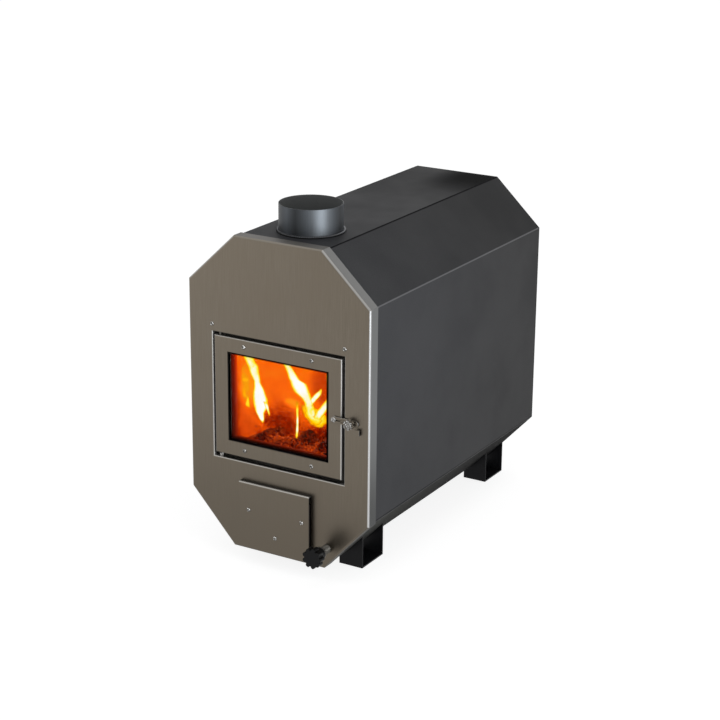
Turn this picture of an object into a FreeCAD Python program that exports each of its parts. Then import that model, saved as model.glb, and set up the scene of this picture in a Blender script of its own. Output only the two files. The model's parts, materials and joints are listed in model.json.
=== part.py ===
import FreeCAD, Part
import math
import os

# Wood-fired heater for a hot tub: a firebox inside an octagonal water jacket.
# Millimetres. +X is right seen from the front, the front faces -Y, +Z is up.
# While modelling, y = 0 is the face of the front plate and z = 0 is the ground.
# Every piece is moved along Y at the end, so that the whole part is centred.

os.makedirs("parts", exist_ok=True)

# Casing
body_width = 500.0
body_height = 782.0
body_length = 876.0
corner_top_run = 129.0
corner_top_rise = 122.0
corner_low_run = 122.0
corner_low_rise = 132.0
plate_sheet = 2.5
plate_flange = 34.0
plate_bend = 6.0
shell_fit = 0.5
shell_sheet = 3.0
rear_sheet = 4.0
wall_sheet = 4.0
wall_setback = 40.0

# Firebox and the water space round it
fire_sheet = 4.0
fire_cut = 110.0
jacket_side = 45.0
jacket_top = 50.0
jacket_bottom = 36.0
jacket_rear = 86.0

# Flue collar
flue_bore_radius = 75.0
flue_wall = 1.5
flue_height = 64.0
flue_setback = 148.0
flue_bead = 6.0
flue_bead_lip = 1.5

# Fire bed and smoke baffle
grate_thick = 15.0
grate_length = 420.0
grate_side_gap = 11.0
grate_bar = 18.0
grate_slot = 14.0
grate_border = 24.0
grate_front_gap = 20.0
ledge_width = 25.0
ledge_thick = 6.0
ledge_clear = 10.0
baffle_clear = 2.0
baffle_thick = 6.0
baffle_length = 590.0
baffle_side_gap = 6.0

# Feet
foot_drop = 32.0
foot_tube = 100.0
foot_wall = 4.0
foot_length = 65.0
foot_inner = 107.0
foot_front_setback = 107.0
foot_rear_setback = 21.0

# Water pipes at the rear
pipe_radius = 30.15
pipe_wall = 2.9
pipe_reach = 60.0
outlet_height = 646.0
inlet_height = 116.0

# Door opening, leaf and hinge
door_border = 42.0
door_rise = 43.3
door_drop = 47.2
door_sill = 225.0
door_return = 12.0
door_bend = 4.0
leaf_sheet = 2.5
leaf_fold = 11.0
leaf_bend = 4.0
leaf_gap_hinge = 4.1
leaf_gap_free = 7.3
leaf_gap_low = 10.0
leaf_gap_top = 7.0
hinge_inset = 18.0
hinge_depth = 7.0
pin_radius = 3.0
pin_head_radius = 4.4
pin_head = 3.0
pin_reach = 4.0
bush_radius = 5.5

# Window
window_width = 281.0
window_height = 224.0
glass_lap = 8.0
glass_sheet = 4.0
gasket_sheet = 1.0
retainer_sheet = 2.0
retainer_lap = 3.0
retainer_border = 14.0
retainer_rise = 29.0
rope_depth = 8.0
rope_width = 8.0
rope_round = 2.8
seal_gap = 0.3
frame_border = 10.0
frame_lap = 2.0
door_screw_span = 188.0
door_screw_rise = 18.5

# Latch
latch_inset = 18.7
latch_below = 0.2
latch_shank = 3.0
latch_head_radius = 6.0
latch_head = 2.4
latch_head_round = 1.4
latch_washer_sheet = 1.0
latch_washer_radius = 8.0
bar_sheet = 3.0
bar_half = 8.0
bar_reach = 66.0
knob_place = 46.5
knob_core = 9.2
knob_lobe = 3.8
knob_lobes = 6
knob_thick = 10.0
knob_stem = 6.0
knob_stem_length = 5.0
knob_tenon = 4.0
latch_nut = 4.0
latch_drop = 12.0
keeper_place = 57.5
keeper_width = 13.0
keeper_sheet = 2.5
keeper_play = 1.0
keeper_clear = 4.0

# Ash drawer
drawer_front_width = 198.0
drawer_front_shift = -4.0
drawer_front_height = 166.0
drawer_front_drop = 30.0
drawer_front_depth = 13.5
drawer_front_gap = 0.5
drawer_sheet = 2.5
drawer_bend = 5.0
tray_width = 176.0
tray_headroom = 10.0
tray_length = 480.0
tray_sheet = 2.0
tray_side_gap = 5.0
tray_top_gap = 5.0
sleeve_sheet = 2.0
runner_height = 4.0
runner_width = 15.0
runner_place = 70.0
runner_length = 424.0
drawer_screw_place = 75.0
drawer_screw_rise = 66.5
drawer_screw_low = 8.7

# Drain
drain_edge = 29.6
drain_height = 55.0
drain_radius = 10.5
drain_bore = 8.0
drain_reach = 60.0
ring_radius = 15.5
ring_thick = 4.0
ring_gap = 0.5
gasket_thick = 2.0
cap_skirt_radius = 14.5
cap_skirt = 19.5
cap_core_radius = 20.0
cap_head = 18.0
cap_rib = 5.5
cap_ribs = 9
cap_end_wall = 9.0

# Screws and their fits
screw_shank = 2.5
screw_head_radius = 5.0
screw_head = 2.2
screw_head_round = 1.3
screw_recess = 1.0
screw_recess_arm = 2.75
screw_recess_depth = 1.2
screw_tail = 1.0
nut_across = 8.0
nut_thick = 4.0
spacer_radius = 4.5
plate_screw_place = 183.0
plate_screw_rise = 19.0
plate_spacer_radius = 8.0
screw_fit = 0.1
weld_fit = 0.1
running_fit = 0.05
slide_fit = 0.3
face_fit = 0.1
same_place = 1e-6

# Levels and stations that follow from the sizes above
body_bottom = foot_drop
body_top = body_bottom + body_height
shell_inset = plate_sheet + shell_fit
wall_inset = shell_inset + shell_sheet
y_wall = wall_setback
y_wall_back = y_wall + wall_sheet
y_shell_end = body_length - rear_sheet
y_fire_end = y_shell_end - jacket_rear
body_half = body_width / 2
fire_half = body_half - jacket_side
fire_bottom = body_bottom + jacket_bottom
fire_top = body_top - jacket_top
fire_floor = fire_bottom + fire_sheet
fire_inner = fire_half - fire_sheet
passage_half = tray_width / 2 + tray_side_gap
fire_flat = passage_half + sleeve_sheet
door_width = window_width + 2 * door_border
door_height = door_drop + window_height + door_rise
z_sill = body_bottom + door_sill
z_lintel = z_sill + door_height
z_door = z_sill + door_drop + window_height / 2
x_jamb = door_width / 2
flue_radius = flue_bore_radius + flue_wall
cap_length = cap_skirt + cap_head
y_cap_front = -(drain_reach + gasket_thick + face_fit + cap_end_wall)
y_middle = (body_length + pipe_reach + y_cap_front) / 2


def vec(x, y, z):
    return FreeCAD.Vector(x, y, z)


def block(x0, x1, y0, y1, z0, z1):
    return Part.makeBox(x1 - x0, y1 - y0, z1 - z0, vec(x0, y0, z0))


def rod_y(x, z, radius, y0, y1):
    return Part.makeCylinder(radius, y1 - y0, vec(x, y0, z), vec(0, 1, 0))


def rod_z(x, y, radius, z0, z1):
    return Part.makeCylinder(radius, z1 - z0, vec(x, y, z0), vec(0, 0, 1))


def tube_y(x, z, outer, inner, y0, y1):
    return rod_y(x, z, outer, y0, y1).cut(rod_y(x, z, inner, y0, y1))


def prism(outline, y0, y1):
    points = [vec(x, y0, z) for x, z in outline]
    wire = Part.makePolygon(points + points[:1])
    return Part.Face(wire).extrude(vec(0, y1 - y0, 0))


def fold_shift(across, along, inset):
    # How far an inset moves the end of a straight side on towards the middle, next to a sloping
    # corner that goes so far across that side and so far along it.
    return inset * math.tan(math.atan2(across, along) / 2)


def octagon(half, low, high, z0, z1, inset):
    # Rectangle with sloping corners, all sides moved in by inset, from the bottom left corner on.
    # The low and the high corners are each given by their run and their rise.
    low_run, low_rise = low
    high_run, high_rise = high
    half_in = half - inset
    flat_low = half - low_run - fold_shift(low_rise, low_run, inset)
    flat_high = half - high_run - fold_shift(high_rise, high_run, inset)
    side_low = z0 + low_rise + fold_shift(low_run, low_rise, inset)
    side_high = z1 - high_rise - fold_shift(high_run, high_rise, inset)
    return [
        (-flat_low, z0 + inset), (flat_low, z0 + inset), (half_in, side_low), (half_in, side_high),
        (flat_high, z1 - inset), (-flat_high, z1 - inset), (-half_in, side_high), (-half_in, side_low),
    ]


def body_outline(inset):
    low = (corner_low_run, corner_low_rise)
    high = (corner_top_run, corner_top_rise)
    return octagon(body_half, low, high, body_bottom, body_top, inset)


def fire_outline(inset):
    corner = (fire_half - fire_flat, fire_cut)
    return octagon(fire_half, corner, corner, fire_bottom, fire_top, inset)


# The stretches of an octagon's outline that one sheet follows
def bottom_stretch(outline):
    return outline[:2]


def right_stretch(outline):
    return outline[1:5]


def top_stretch(outline):
    return outline[4:6]


def left_stretch(outline):
    return outline[5:] + outline[:1]


def body_octagon(inset, y0, y1):
    return prism(body_outline(inset), y0, y1)


def fire_octagon(inset, y0, y1):
    return prism(fire_outline(inset), y0, y1)


def folded_sheet(outer, inner, stretch, y0, y1):
    # Sheet between two outlines, mitred at its two ends.
    return prism(stretch(outer) + stretch(inner)[::-1], y0, y1)


def hexagon_y(x, z, across, y0, y1):
    corner = across / math.sqrt(3)
    outline = []
    for side in range(6):
        turn = math.radians(60 * side)
        outline.append((x + corner * math.cos(turn), z + corner * math.sin(turn)))
    return prism(outline, y0, y1)


def screw_y(x, z, y_seat, y_end):
    # Pan-head cross-recess screw whose head stands in front of the face at y_seat.
    head = rod_y(x, z, screw_head_radius, y_seat - screw_head, y_seat)
    rims = [e for e in head.Edges if abs(e.CenterOfMass.y - (y_seat - screw_head)) < same_place]
    head = head.makeFillet(screw_head_round, rims)
    y_recess = y_seat - screw_head
    arm = screw_recess_arm
    half = screw_recess / 2
    wide = block(x - arm, x + arm, y_recess, y_recess + screw_recess_depth, z - half, z + half)
    tall = block(x - half, x + half, y_recess, y_recess + screw_recess_depth, z - arm, z + arm)
    shank = rod_y(x, z, screw_shank, y_seat, y_end)
    return head.cut(wide).cut(tall).fuse(shank).removeSplitter()


def nut_y(x, z, y0, y1):
    return hexagon_y(x, z, nut_across, y0, y1).cut(rod_y(x, z, screw_shank + screw_fit, y0, y1))


def bend_edges(shape, radius, y, reach):
    # Rounds the edges in the plane at y, up to reach from the middle, as a bent sheet has it.
    edges = []
    for edge in shape.Edges:
        box = edge.BoundBox
        in_plane = abs(box.YMin - y) < same_place and abs(box.YMax - y) < same_place
        if in_plane and max(-box.XMin, box.XMax) < reach + same_place:
            edges.append(edge)
    return shape.makeFillet(radius, edges)


def bend_top(shape, radius, y, z):
    # Rounds the one level edge at y and z.
    edges = []
    for edge in shape.Edges:
        middle = edge.CenterOfMass
        if abs(middle.y - y) < same_place and abs(middle.z - z) < same_place:
            edges.append(edge)
    return shape.makeFillet(radius, edges)


def group(solids):
    return Part.makeCompound(solids)


def save(name, shape):
    shape = shape.copy()
    shape.translate(vec(0, -y_middle, 0))
    shape.exportStep("parts/" + name + ".step")
    print(name, len(shape.Solids), "solids", round(shape.Volume), "mm3", shape.isValid())


# Places on the front that several pieces share
door_screws_at = [
    (sx * door_screw_span / 2, z_door + sz * (window_height / 2 + door_screw_rise))
    for sx in (-1, 1) for sz in (-1, 1)
]
plate_screws_at = [(sx * plate_screw_place, z_lintel + plate_screw_rise) for sx in (-1, 1)]
x_hinge = -x_jamb + hinge_inset
y_hinge = hinge_depth
leaf_left = -x_jamb + leaf_gap_hinge
leaf_right = x_jamb - leaf_gap_free
leaf_bottom = z_sill + leaf_gap_low
leaf_top = z_lintel - leaf_gap_top
x_latch = leaf_right - latch_inset
z_latch = z_door - latch_below
z_drain = body_bottom + drain_height
corner_low_edge = math.hypot(corner_low_run, corner_low_rise)
drain_inward = drain_edge * corner_low_edge - drain_height * corner_low_run
x_drain = body_half - corner_low_run - drain_inward / corner_low_rise
fold_inner = fire_cut + fold_shift(fire_half - fire_flat, fire_cut, fire_sheet)
grate_level = fire_bottom + fold_inner + ledge_clear + ledge_thick
baffle_level = fire_top - fold_inner - baffle_clear - baffle_thick
tray_bottom = fire_floor + runner_height + slide_fit
tray_top = grate_level - tray_headroom
drawer_screws_at = [
    (-drawer_screw_place, tray_bottom + drawer_screw_rise),
    (drawer_screw_place, tray_bottom + drawer_screw_rise),
    (0.0, tray_bottom + drawer_screw_low),
]
passage_bottom = fire_floor
passage_top = tray_top + tray_top_gap
mouth_half = window_width / 2 + frame_lap
mouth_rise = window_height / 2 + frame_lap


# Front plate: folded tray with the door opening, drawer passage and drain hole
def front_plate():
    edge = plate_sheet
    tray = bend_edges(body_octagon(0, 0, plate_flange), plate_bend, 0, body_half)
    hollow = body_octagon(edge, edge, plate_flange)
    tray = tray.cut(bend_edges(hollow, plate_bend - edge, edge, body_half))
    collar = block(-x_jamb - edge, x_jamb + edge, 0, door_return, z_sill - edge, z_lintel + edge)
    plate = tray.fuse(collar).removeSplitter()
    plate = plate.cut(block(-x_jamb, x_jamb, 0, door_return, z_sill, z_lintel))
    plate = bend_edges(plate, door_bend, 0, x_jamb)
    plate = plate.cut(block(-passage_half, passage_half, 0, plate_sheet, passage_bottom, passage_top))
    plate = plate.cut(rod_y(x_drain, z_drain, drain_radius + slide_fit, 0, plate_sheet))
    for x, z in plate_screws_at:
        plate = plate.cut(rod_y(x, z, screw_shank + screw_fit, 0, plate_sheet))
    for z in (z_sill - edge, z_lintel):
        plate = plate.cut(rod_z(x_hinge, y_hinge, pin_radius + weld_fit, z, z + edge))
    return plate.removeSplitter()


# Shell: flat sheets at the top and bottom, and a sheet folded twice on each side
def shell_piece(stretch):
    outer = body_outline(shell_inset)
    inner = body_outline(wall_inset)
    return folded_sheet(outer, inner, stretch, plate_bend, y_shell_end)


def shell_top():
    top = body_top - shell_inset
    hole = rod_z(0, flue_setback, flue_radius + weld_fit, top - shell_sheet, top)
    return shell_piece(top_stretch).cut(hole)


def rear_plate():
    plate = body_octagon(shell_inset, y_shell_end, body_length)
    for height in (outlet_height, inlet_height):
        bore = pipe_radius - pipe_wall
        plate = plate.cut(rod_y(0, body_bottom + height, bore, y_shell_end, body_length))
    return plate


# Front wall of the water jacket, with the fire mouth and the drawer passage
def front_wall():
    wall = body_octagon(wall_inset, y_wall, y_wall_back)
    mouth = block(-mouth_half, mouth_half, y_wall, y_wall_back, z_door - mouth_rise, z_door + mouth_rise)
    passage = block(-passage_half, passage_half, y_wall, y_wall_back, passage_bottom, passage_top)
    wall = wall.cut(mouth).cut(passage)
    wall = wall.cut(rod_y(x_drain, z_drain, drain_radius + weld_fit, y_wall, y_wall_back))
    for x, z in plate_screws_at:
        wall = wall.cut(rod_y(x, z, screw_shank + screw_fit, y_wall, y_wall_back))
    return wall


# Firebox: made of sheets in the same way as the shell
def firebox_piece(stretch):
    outer = fire_outline(0)
    inner = fire_outline(fire_sheet)
    return folded_sheet(outer, inner, stretch, y_wall_back, y_fire_end)


def firebox_top():
    hole = rod_z(0, flue_setback, flue_radius + weld_fit, fire_top - fire_sheet, fire_top)
    return firebox_piece(top_stretch).cut(hole)


def firebox_rear_wall():
    return fire_octagon(0, y_fire_end, y_fire_end + fire_sheet)


# Open collar that passes through the jacket into the top of the firebox
def flue_collar():
    z0 = fire_top - fire_sheet
    z1 = body_top + flue_height
    outer = rod_z(0, flue_setback, flue_radius, z0, z1)
    return outer.cut(rod_z(0, flue_setback, flue_bore_radius, z0, z1))


def flue_weld():
    foot = vec(0, flue_setback, body_top - shell_inset)
    inner = flue_radius + weld_fit
    cone = Part.makeCone(flue_radius + flue_bead, inner + flue_bead_lip, flue_bead, foot, vec(0, 0, 1))
    return cone.cut(Part.makeCylinder(inner, flue_bead, foot, vec(0, 0, 1)))


# Grate with lengthwise slots, carried on a ledge on each side
def fire_grate():
    half = fire_inner - grate_side_gap
    y0 = y_wall_back + grate_front_gap
    y1 = y0 + grate_length
    z0 = grate_level
    grate = block(-half, half, y0, y1, z0, z0 + grate_thick)
    pitch = grate_bar + grate_slot
    count = int((2 * (half - grate_border) + grate_bar) // pitch)
    first = -(count - 1) * pitch / 2
    for index in range(count):
        x = first + index * pitch
        slot = block(x - grate_slot / 2, x + grate_slot / 2, y0 + grate_border, y1 - grate_border,
                     z0, z0 + grate_thick)
        grate = grate.cut(slot)
    return grate


def side_ledge(side, length, z_top):
    inner = fire_inner - ledge_width
    x0, x1 = sorted((side * inner, side * fire_inner))
    return block(x0, x1, y_wall_back, y_wall_back + length, z_top - ledge_thick, z_top)


def smoke_baffle():
    half = fire_inner - baffle_side_gap
    y1 = y_wall_back + baffle_length
    return block(-half, half, y_wall_back, y1, baffle_level, baffle_level + baffle_thick)


def drawer_runner(side):
    x = side * runner_place
    half = runner_width / 2
    return block(x - half, x + half, y_wall_back, y_wall_back + runner_length,
                 fire_floor, fire_floor + runner_height)


# Foot: a short square tube lying across, mitred to the sloping underside
def foot(side, y0):
    x0, x1 = sorted((side * foot_inner, side * (foot_inner + foot_length)))
    y1 = y0 + foot_tube
    wall = foot_wall
    tube = block(x0, x1, y0, y1, 0, foot_tube)
    tube = tube.cut(block(x0, x1, y0 + wall, y1 - wall, wall, foot_tube - wall))
    return tube.cut(body_octagon(shell_inset, y0, y1))


def water_pipe(height):
    z = body_bottom + height
    y_end = body_length + pipe_reach
    return tube_y(0, z, pipe_radius, pipe_radius - pipe_wall, body_length, y_end)


# Drain: threaded nipple through the front wall, closed by a ribbed cap
def drain_nipple():
    return tube_y(x_drain, z_drain, drain_radius, drain_bore, -drain_reach, y_wall_back)


def drain_ring():
    y1 = y_cap_front + cap_length + ring_gap + ring_thick
    return tube_y(x_drain, z_drain, ring_radius, drain_radius + weld_fit, y1 - ring_thick, y1)


def drain_gasket():
    y1 = -drain_reach
    return rod_y(x_drain, z_drain, drain_radius, y1 - gasket_thick, y1)


def drain_cap():
    y_head = y_cap_front + cap_head
    cap = rod_y(x_drain, z_drain, cap_core_radius, y_cap_front, y_head)
    for index in range(cap_ribs):
        turn = 2 * math.pi * index / cap_ribs
        x = x_drain + cap_core_radius * math.cos(turn)
        z = z_drain + cap_core_radius * math.sin(turn)
        cap = cap.fuse(rod_y(x, z, cap_rib, y_cap_front, y_head))
    cap = cap.fuse(rod_y(x_drain, z_drain, cap_skirt_radius, y_head, y_head + cap_skirt))
    bore = drain_radius + slide_fit
    return cap.cut(rod_y(x_drain, z_drain, bore, y_cap_front + cap_end_wall, y_head + cap_skirt))


# Frame between the front wall and the door, which the rope seal meets
def door_frame():
    y0 = y_seal_back() + seal_gap
    half = mouth_half + frame_border
    rise = mouth_rise + frame_border
    ring = block(-half, half, y0, y_wall, z_door - rise, z_door + rise)
    return ring.cut(block(-mouth_half, mouth_half, y0, y_wall, z_door - mouth_rise, z_door + mouth_rise))


# Sleeve that guides the ash drawer between the front plate and the front wall
def drawer_sleeve():
    edge = sleeve_sheet
    ring = block(-passage_half - edge, passage_half + edge, plate_sheet, y_wall,
                 passage_bottom - edge, passage_top + edge)
    return ring.cut(block(-passage_half, passage_half, plate_sheet, y_wall, passage_bottom, passage_top))


def hinge_pins():
    z_over = z_lintel + plate_sheet
    z_under = z_sill - plate_sheet
    upper = rod_z(x_hinge, y_hinge, pin_radius, leaf_top - leaf_sheet - pin_reach, z_over)
    upper = upper.fuse(rod_z(x_hinge, y_hinge, pin_head_radius, z_over, z_over + pin_head))
    lower = rod_z(x_hinge, y_hinge, pin_radius, z_under, leaf_bottom + leaf_sheet + pin_reach)
    lower = lower.fuse(rod_z(x_hinge, y_hinge, pin_head_radius, z_under - pin_head, z_under))
    return group([upper, lower])


def hinge_bush():
    bush = rod_z(x_hinge, y_hinge, bush_radius, z_sill, leaf_bottom - face_fit)
    return bush.cut(rod_z(x_hinge, y_hinge, pin_radius + running_fit, z_sill, leaf_bottom - face_fit))


# Hook on the front plate that the latch bar drops behind
def latch_keeper():
    x0 = x_latch + keeper_place
    x1 = x0 + keeper_width
    drop = math.radians(latch_drop)
    slope = math.tan(drop) * (keeper_place + keeper_width)
    z_floor = z_latch - bar_half / math.cos(drop) - slope - keeper_play
    z_lip = z_latch - bar_half - keeper_clear
    y_back = -latch_washer_sheet - bar_sheet - keeper_play
    shelf = block(x0, x1, y_back - keeper_sheet, 0, z_floor - keeper_sheet, z_floor)
    lip = block(x0, x1, y_back - keeper_sheet, y_back, z_floor - keeper_sheet, z_lip)
    return shelf.fuse(lip).removeSplitter()


def plate_screws():
    return group([screw_y(x, z, 0, y_wall_back) for x, z in plate_screws_at])


def plate_spacers():
    hole = screw_shank + screw_fit
    return group([tube_y(x, z, plate_spacer_radius, hole, plate_sheet, y_wall) for x, z in plate_screws_at])


# Layers of the door, from its face inwards
def y_glass_front():
    return leaf_sheet + gasket_sheet


def y_retainer():
    return y_glass_front() + glass_sheet


def y_retainer_back():
    return y_retainer() + retainer_sheet


def y_seal_back():
    return y_retainer_back() + rope_depth


def rect_frame(half, rise, inner_half, inner_rise, y0, y1):
    outer = block(-half, half, y0, y1, z_door - rise, z_door + rise)
    return outer.cut(block(-inner_half, inner_half, y0, y1, z_door - inner_rise, z_door + inner_rise))


def door_leaf():
    sheet = leaf_sheet
    leaf = block(leaf_left, leaf_right, 0, leaf_fold, leaf_bottom, leaf_top)
    leaf = bend_edges(leaf, leaf_bend, 0, x_jamb)
    leaf = leaf.cut(block(leaf_left + sheet, leaf_right - sheet, sheet, leaf_fold,
                          leaf_bottom + sheet, leaf_top - sheet))
    half = window_width / 2
    rise = window_height / 2
    leaf = leaf.cut(block(-half, half, 0, sheet, z_door - rise, z_door + rise))
    for x, z in door_screws_at:
        leaf = leaf.cut(rod_y(x, z, screw_shank + screw_fit, 0, sheet))
    leaf = leaf.cut(rod_y(x_latch, z_latch, latch_shank + screw_fit, 0, sheet))
    for z in (leaf_bottom, leaf_top - sheet):
        leaf = leaf.cut(rod_z(x_hinge, y_hinge, pin_radius + running_fit, z, z + sheet))
    return leaf


def glass_gasket():
    half = window_width / 2
    rise = window_height / 2
    return rect_frame(half + glass_lap, rise + glass_lap, half, rise, leaf_sheet, y_glass_front())


def door_glass():
    half = window_width / 2 + glass_lap
    rise = window_height / 2 + glass_lap
    return block(-half, half, y_glass_front(), y_retainer(), z_door - rise, z_door + rise)


def glass_retainer():
    half = window_width / 2 + retainer_lap
    rise = window_height / 2 + retainer_lap
    frame = rect_frame(half + retainer_border, window_height / 2 + retainer_rise, half, rise,
                       y_retainer(), y_retainer_back())
    for x, z in door_screws_at:
        frame = frame.cut(rod_y(x, z, screw_shank + screw_fit, y_retainer(), y_retainer_back()))
    return frame


def retainer_spacers():
    hole = screw_shank + screw_fit
    return group([tube_y(x, z, spacer_radius, hole, leaf_sheet, y_retainer()) for x, z in door_screws_at])


def door_screws():
    y_end = y_retainer_back() + nut_thick + screw_tail
    return group([screw_y(x, z, 0, y_end) for x, z in door_screws_at])


def door_nuts():
    y0 = y_retainer_back()
    return group([nut_y(x, z, y0, y0 + nut_thick) for x, z in door_screws_at])


def door_rope_seal():
    half = window_width / 2 + retainer_lap
    rise = window_height / 2 + retainer_lap
    ring = rect_frame(half + rope_width, rise + rope_width, half, rise, y_retainer_back(), y_seal_back())
    rims = [e for e in ring.Edges if abs(e.CenterOfMass.y - y_seal_back()) < same_place]
    return ring.makeFillet(rope_round, rims)


# Latch: a bar on a shoulder screw, with a lobed knob as its grip
def y_bar_back():
    return -latch_washer_sheet


def y_bar_front():
    return y_bar_back() - bar_sheet


def latch_screw():
    y_head = y_bar_front() - face_fit
    head = rod_y(x_latch, z_latch, latch_head_radius, y_head - latch_head, y_head)
    rims = [e for e in head.Edges if abs(e.CenterOfMass.y - (y_head - latch_head)) < same_place]
    head = head.makeFillet(latch_head_round, rims)
    return head.fuse(rod_y(x_latch, z_latch, latch_shank, y_head, leaf_sheet + latch_nut))


def latch_nut_piece():
    nut = hexagon_y(x_latch, z_latch, nut_across, leaf_sheet, leaf_sheet + latch_nut)
    hole = rod_y(x_latch, z_latch, latch_shank + screw_fit, leaf_sheet, leaf_sheet + latch_nut)
    return nut.cut(hole)


def latch_washer():
    return tube_y(x_latch, z_latch, latch_washer_radius, latch_shank + screw_fit, y_bar_back(), 0)


def latch_bar():
    y0 = y_bar_front()
    y1 = y_bar_back()
    x_end = x_latch + bar_reach - bar_half
    bar = block(x_latch, x_end, y0, y1, z_latch - bar_half, z_latch + bar_half)
    for x in (x_latch, x_end):
        bar = bar.fuse(rod_y(x, z_latch, bar_half, y0, y1))
    bar = bar.removeSplitter()
    bar = bar.cut(rod_y(x_latch, z_latch, latch_shank + running_fit, y0, y1))
    return bar.cut(rod_y(x_latch + knob_place, z_latch, knob_tenon + weld_fit, y0, y1))


def latch_knob():
    x = x_latch + knob_place
    y_back = y_bar_front() - knob_stem_length
    y_face = y_back - knob_thick
    knob = rod_y(x, z_latch, knob_core, y_face, y_back)
    for index in range(knob_lobes):
        turn = 2 * math.pi * (index + 0.5) / knob_lobes
        lobe_x = x + knob_core * math.cos(turn)
        lobe_z = z_latch + knob_core * math.sin(turn)
        knob = knob.fuse(rod_y(lobe_x, lobe_z, knob_lobe, y_face, y_back))
    knob = knob.fuse(rod_y(x, z_latch, knob_stem, y_back, y_bar_front()))
    return knob.fuse(rod_y(x, z_latch, knob_tenon, y_bar_front(), y_bar_back()))


# Ash drawer: an open welded tray with a front that stands proud of the front plate, its top edge folded back
def y_panel():
    return -drawer_front_gap - drawer_front_depth


def y_tray_front():
    return y_panel() + drawer_sheet


def ash_drawer_front():
    x0 = drawer_front_shift - drawer_front_width / 2
    x1 = x0 + drawer_front_width
    z0 = tray_bottom - drawer_front_drop
    z1 = z0 + drawer_front_height
    panel = block(x0, x1, y_panel(), -drawer_front_gap, z0, z1)
    panel = bend_top(panel, drawer_bend, y_panel(), z1)
    behind = block(x0, x1, y_tray_front(), -drawer_front_gap, z0, z1 - drawer_sheet)
    behind = bend_top(behind, drawer_bend - drawer_sheet, y_tray_front(), z1 - drawer_sheet)
    panel = panel.cut(behind)
    for x, z in drawer_screws_at:
        panel = panel.cut(rod_y(x, z, screw_shank + screw_fit, y_panel(), y_tray_front()))
    return panel


def y_tray_back():
    return y_tray_front() + tray_length


def ash_tray_floor():
    half = tray_width / 2
    return block(-half, half, y_tray_front(), y_tray_back(), tray_bottom, tray_bottom + tray_sheet)


def ash_tray_side(side):
    x0, x1 = sorted((side * (tray_width / 2 - tray_sheet), side * tray_width / 2))
    return block(x0, x1, y_tray_front(), y_tray_back(), tray_bottom + tray_sheet, tray_top)


def ash_tray_end(y0):
    half = tray_width / 2 - tray_sheet
    return block(-half, half, y0, y0 + tray_sheet, tray_bottom + tray_sheet, tray_top)


def ash_tray_front():
    end = ash_tray_end(y_tray_front())
    for x, z in drawer_screws_at:
        end = end.cut(rod_y(x, z, screw_shank + screw_fit, y_tray_front(), y_tray_front() + tray_sheet))
    return end


def drawer_screws():
    y_end = y_tray_front() + tray_sheet + nut_thick + screw_tail
    return group([screw_y(x, z, y_panel(), y_end) for x, z in drawer_screws_at])


def drawer_nuts():
    y0 = y_tray_front() + tray_sheet
    return group([nut_y(x, z, y0, y0 + nut_thick) for x, z in drawer_screws_at])


# Write every piece
save("front_plate", front_plate())
save("shell_top", shell_top())
save("shell_bottom", shell_piece(bottom_stretch))
save("shell_left", shell_piece(left_stretch))
save("shell_right", shell_piece(right_stretch))
save("rear_plate", rear_plate())
save("front_wall", front_wall())
save("firebox_top", firebox_top())
save("firebox_floor", firebox_piece(bottom_stretch))
save("firebox_left", firebox_piece(left_stretch))
save("firebox_right", firebox_piece(right_stretch))
save("firebox_rear_wall", firebox_rear_wall())
save("door_frame", door_frame())
save("drawer_sleeve", drawer_sleeve())
save("flue_collar", flue_collar())
save("flue_weld", flue_weld())
save("fire_grate", fire_grate())
save("smoke_baffle", smoke_baffle())
for side_name, side in (("left", -1), ("right", 1)):
    save("grate_ledge_" + side_name, side_ledge(side, grate_front_gap + grate_length, grate_level))
    save("baffle_ledge_" + side_name, side_ledge(side, baffle_length, baffle_level))
    save("drawer_runner_" + side_name, drawer_runner(side))
    save("foot_front_" + side_name, foot(side, foot_front_setback))
    save("foot_rear_" + side_name, foot(side, body_length - foot_rear_setback - foot_tube))
save("water_outlet_pipe", water_pipe(outlet_height))
save("water_inlet_pipe", water_pipe(inlet_height))
save("drain_nipple", drain_nipple())
save("drain_ring", drain_ring())
save("drain_gasket", drain_gasket())
save("drain_cap", drain_cap())
save("hinge_pins", hinge_pins())
save("hinge_bush", hinge_bush())
save("latch_keeper", latch_keeper())
save("plate_screws", plate_screws())
save("plate_spacers", plate_spacers())
save("door_leaf", door_leaf())
save("glass_gasket", glass_gasket())
save("door_glass", door_glass())
save("glass_retainer", glass_retainer())
save("retainer_spacers", retainer_spacers())
save("door_screws", door_screws())
save("door_nuts", door_nuts())
save("door_rope_seal", door_rope_seal())
save("latch_screw", latch_screw())
save("latch_nut", latch_nut_piece())
save("latch_washer", latch_washer())
save("latch_bar", latch_bar())
save("latch_knob", latch_knob())
save("ash_drawer_front", ash_drawer_front())
save("ash_tray_floor", ash_tray_floor())
save("ash_tray_left", ash_tray_side(-1))
save("ash_tray_right", ash_tray_side(1))
save("ash_tray_front", ash_tray_front())
save("ash_tray_back", ash_tray_end(y_tray_back() - tray_sheet))
save("drawer_screws", drawer_screws())
save("drawer_nuts", drawer_nuts())
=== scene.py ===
import json
import math
import random

import bmesh
import bpy
from mathutils import Matrix, Vector, noise


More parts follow.
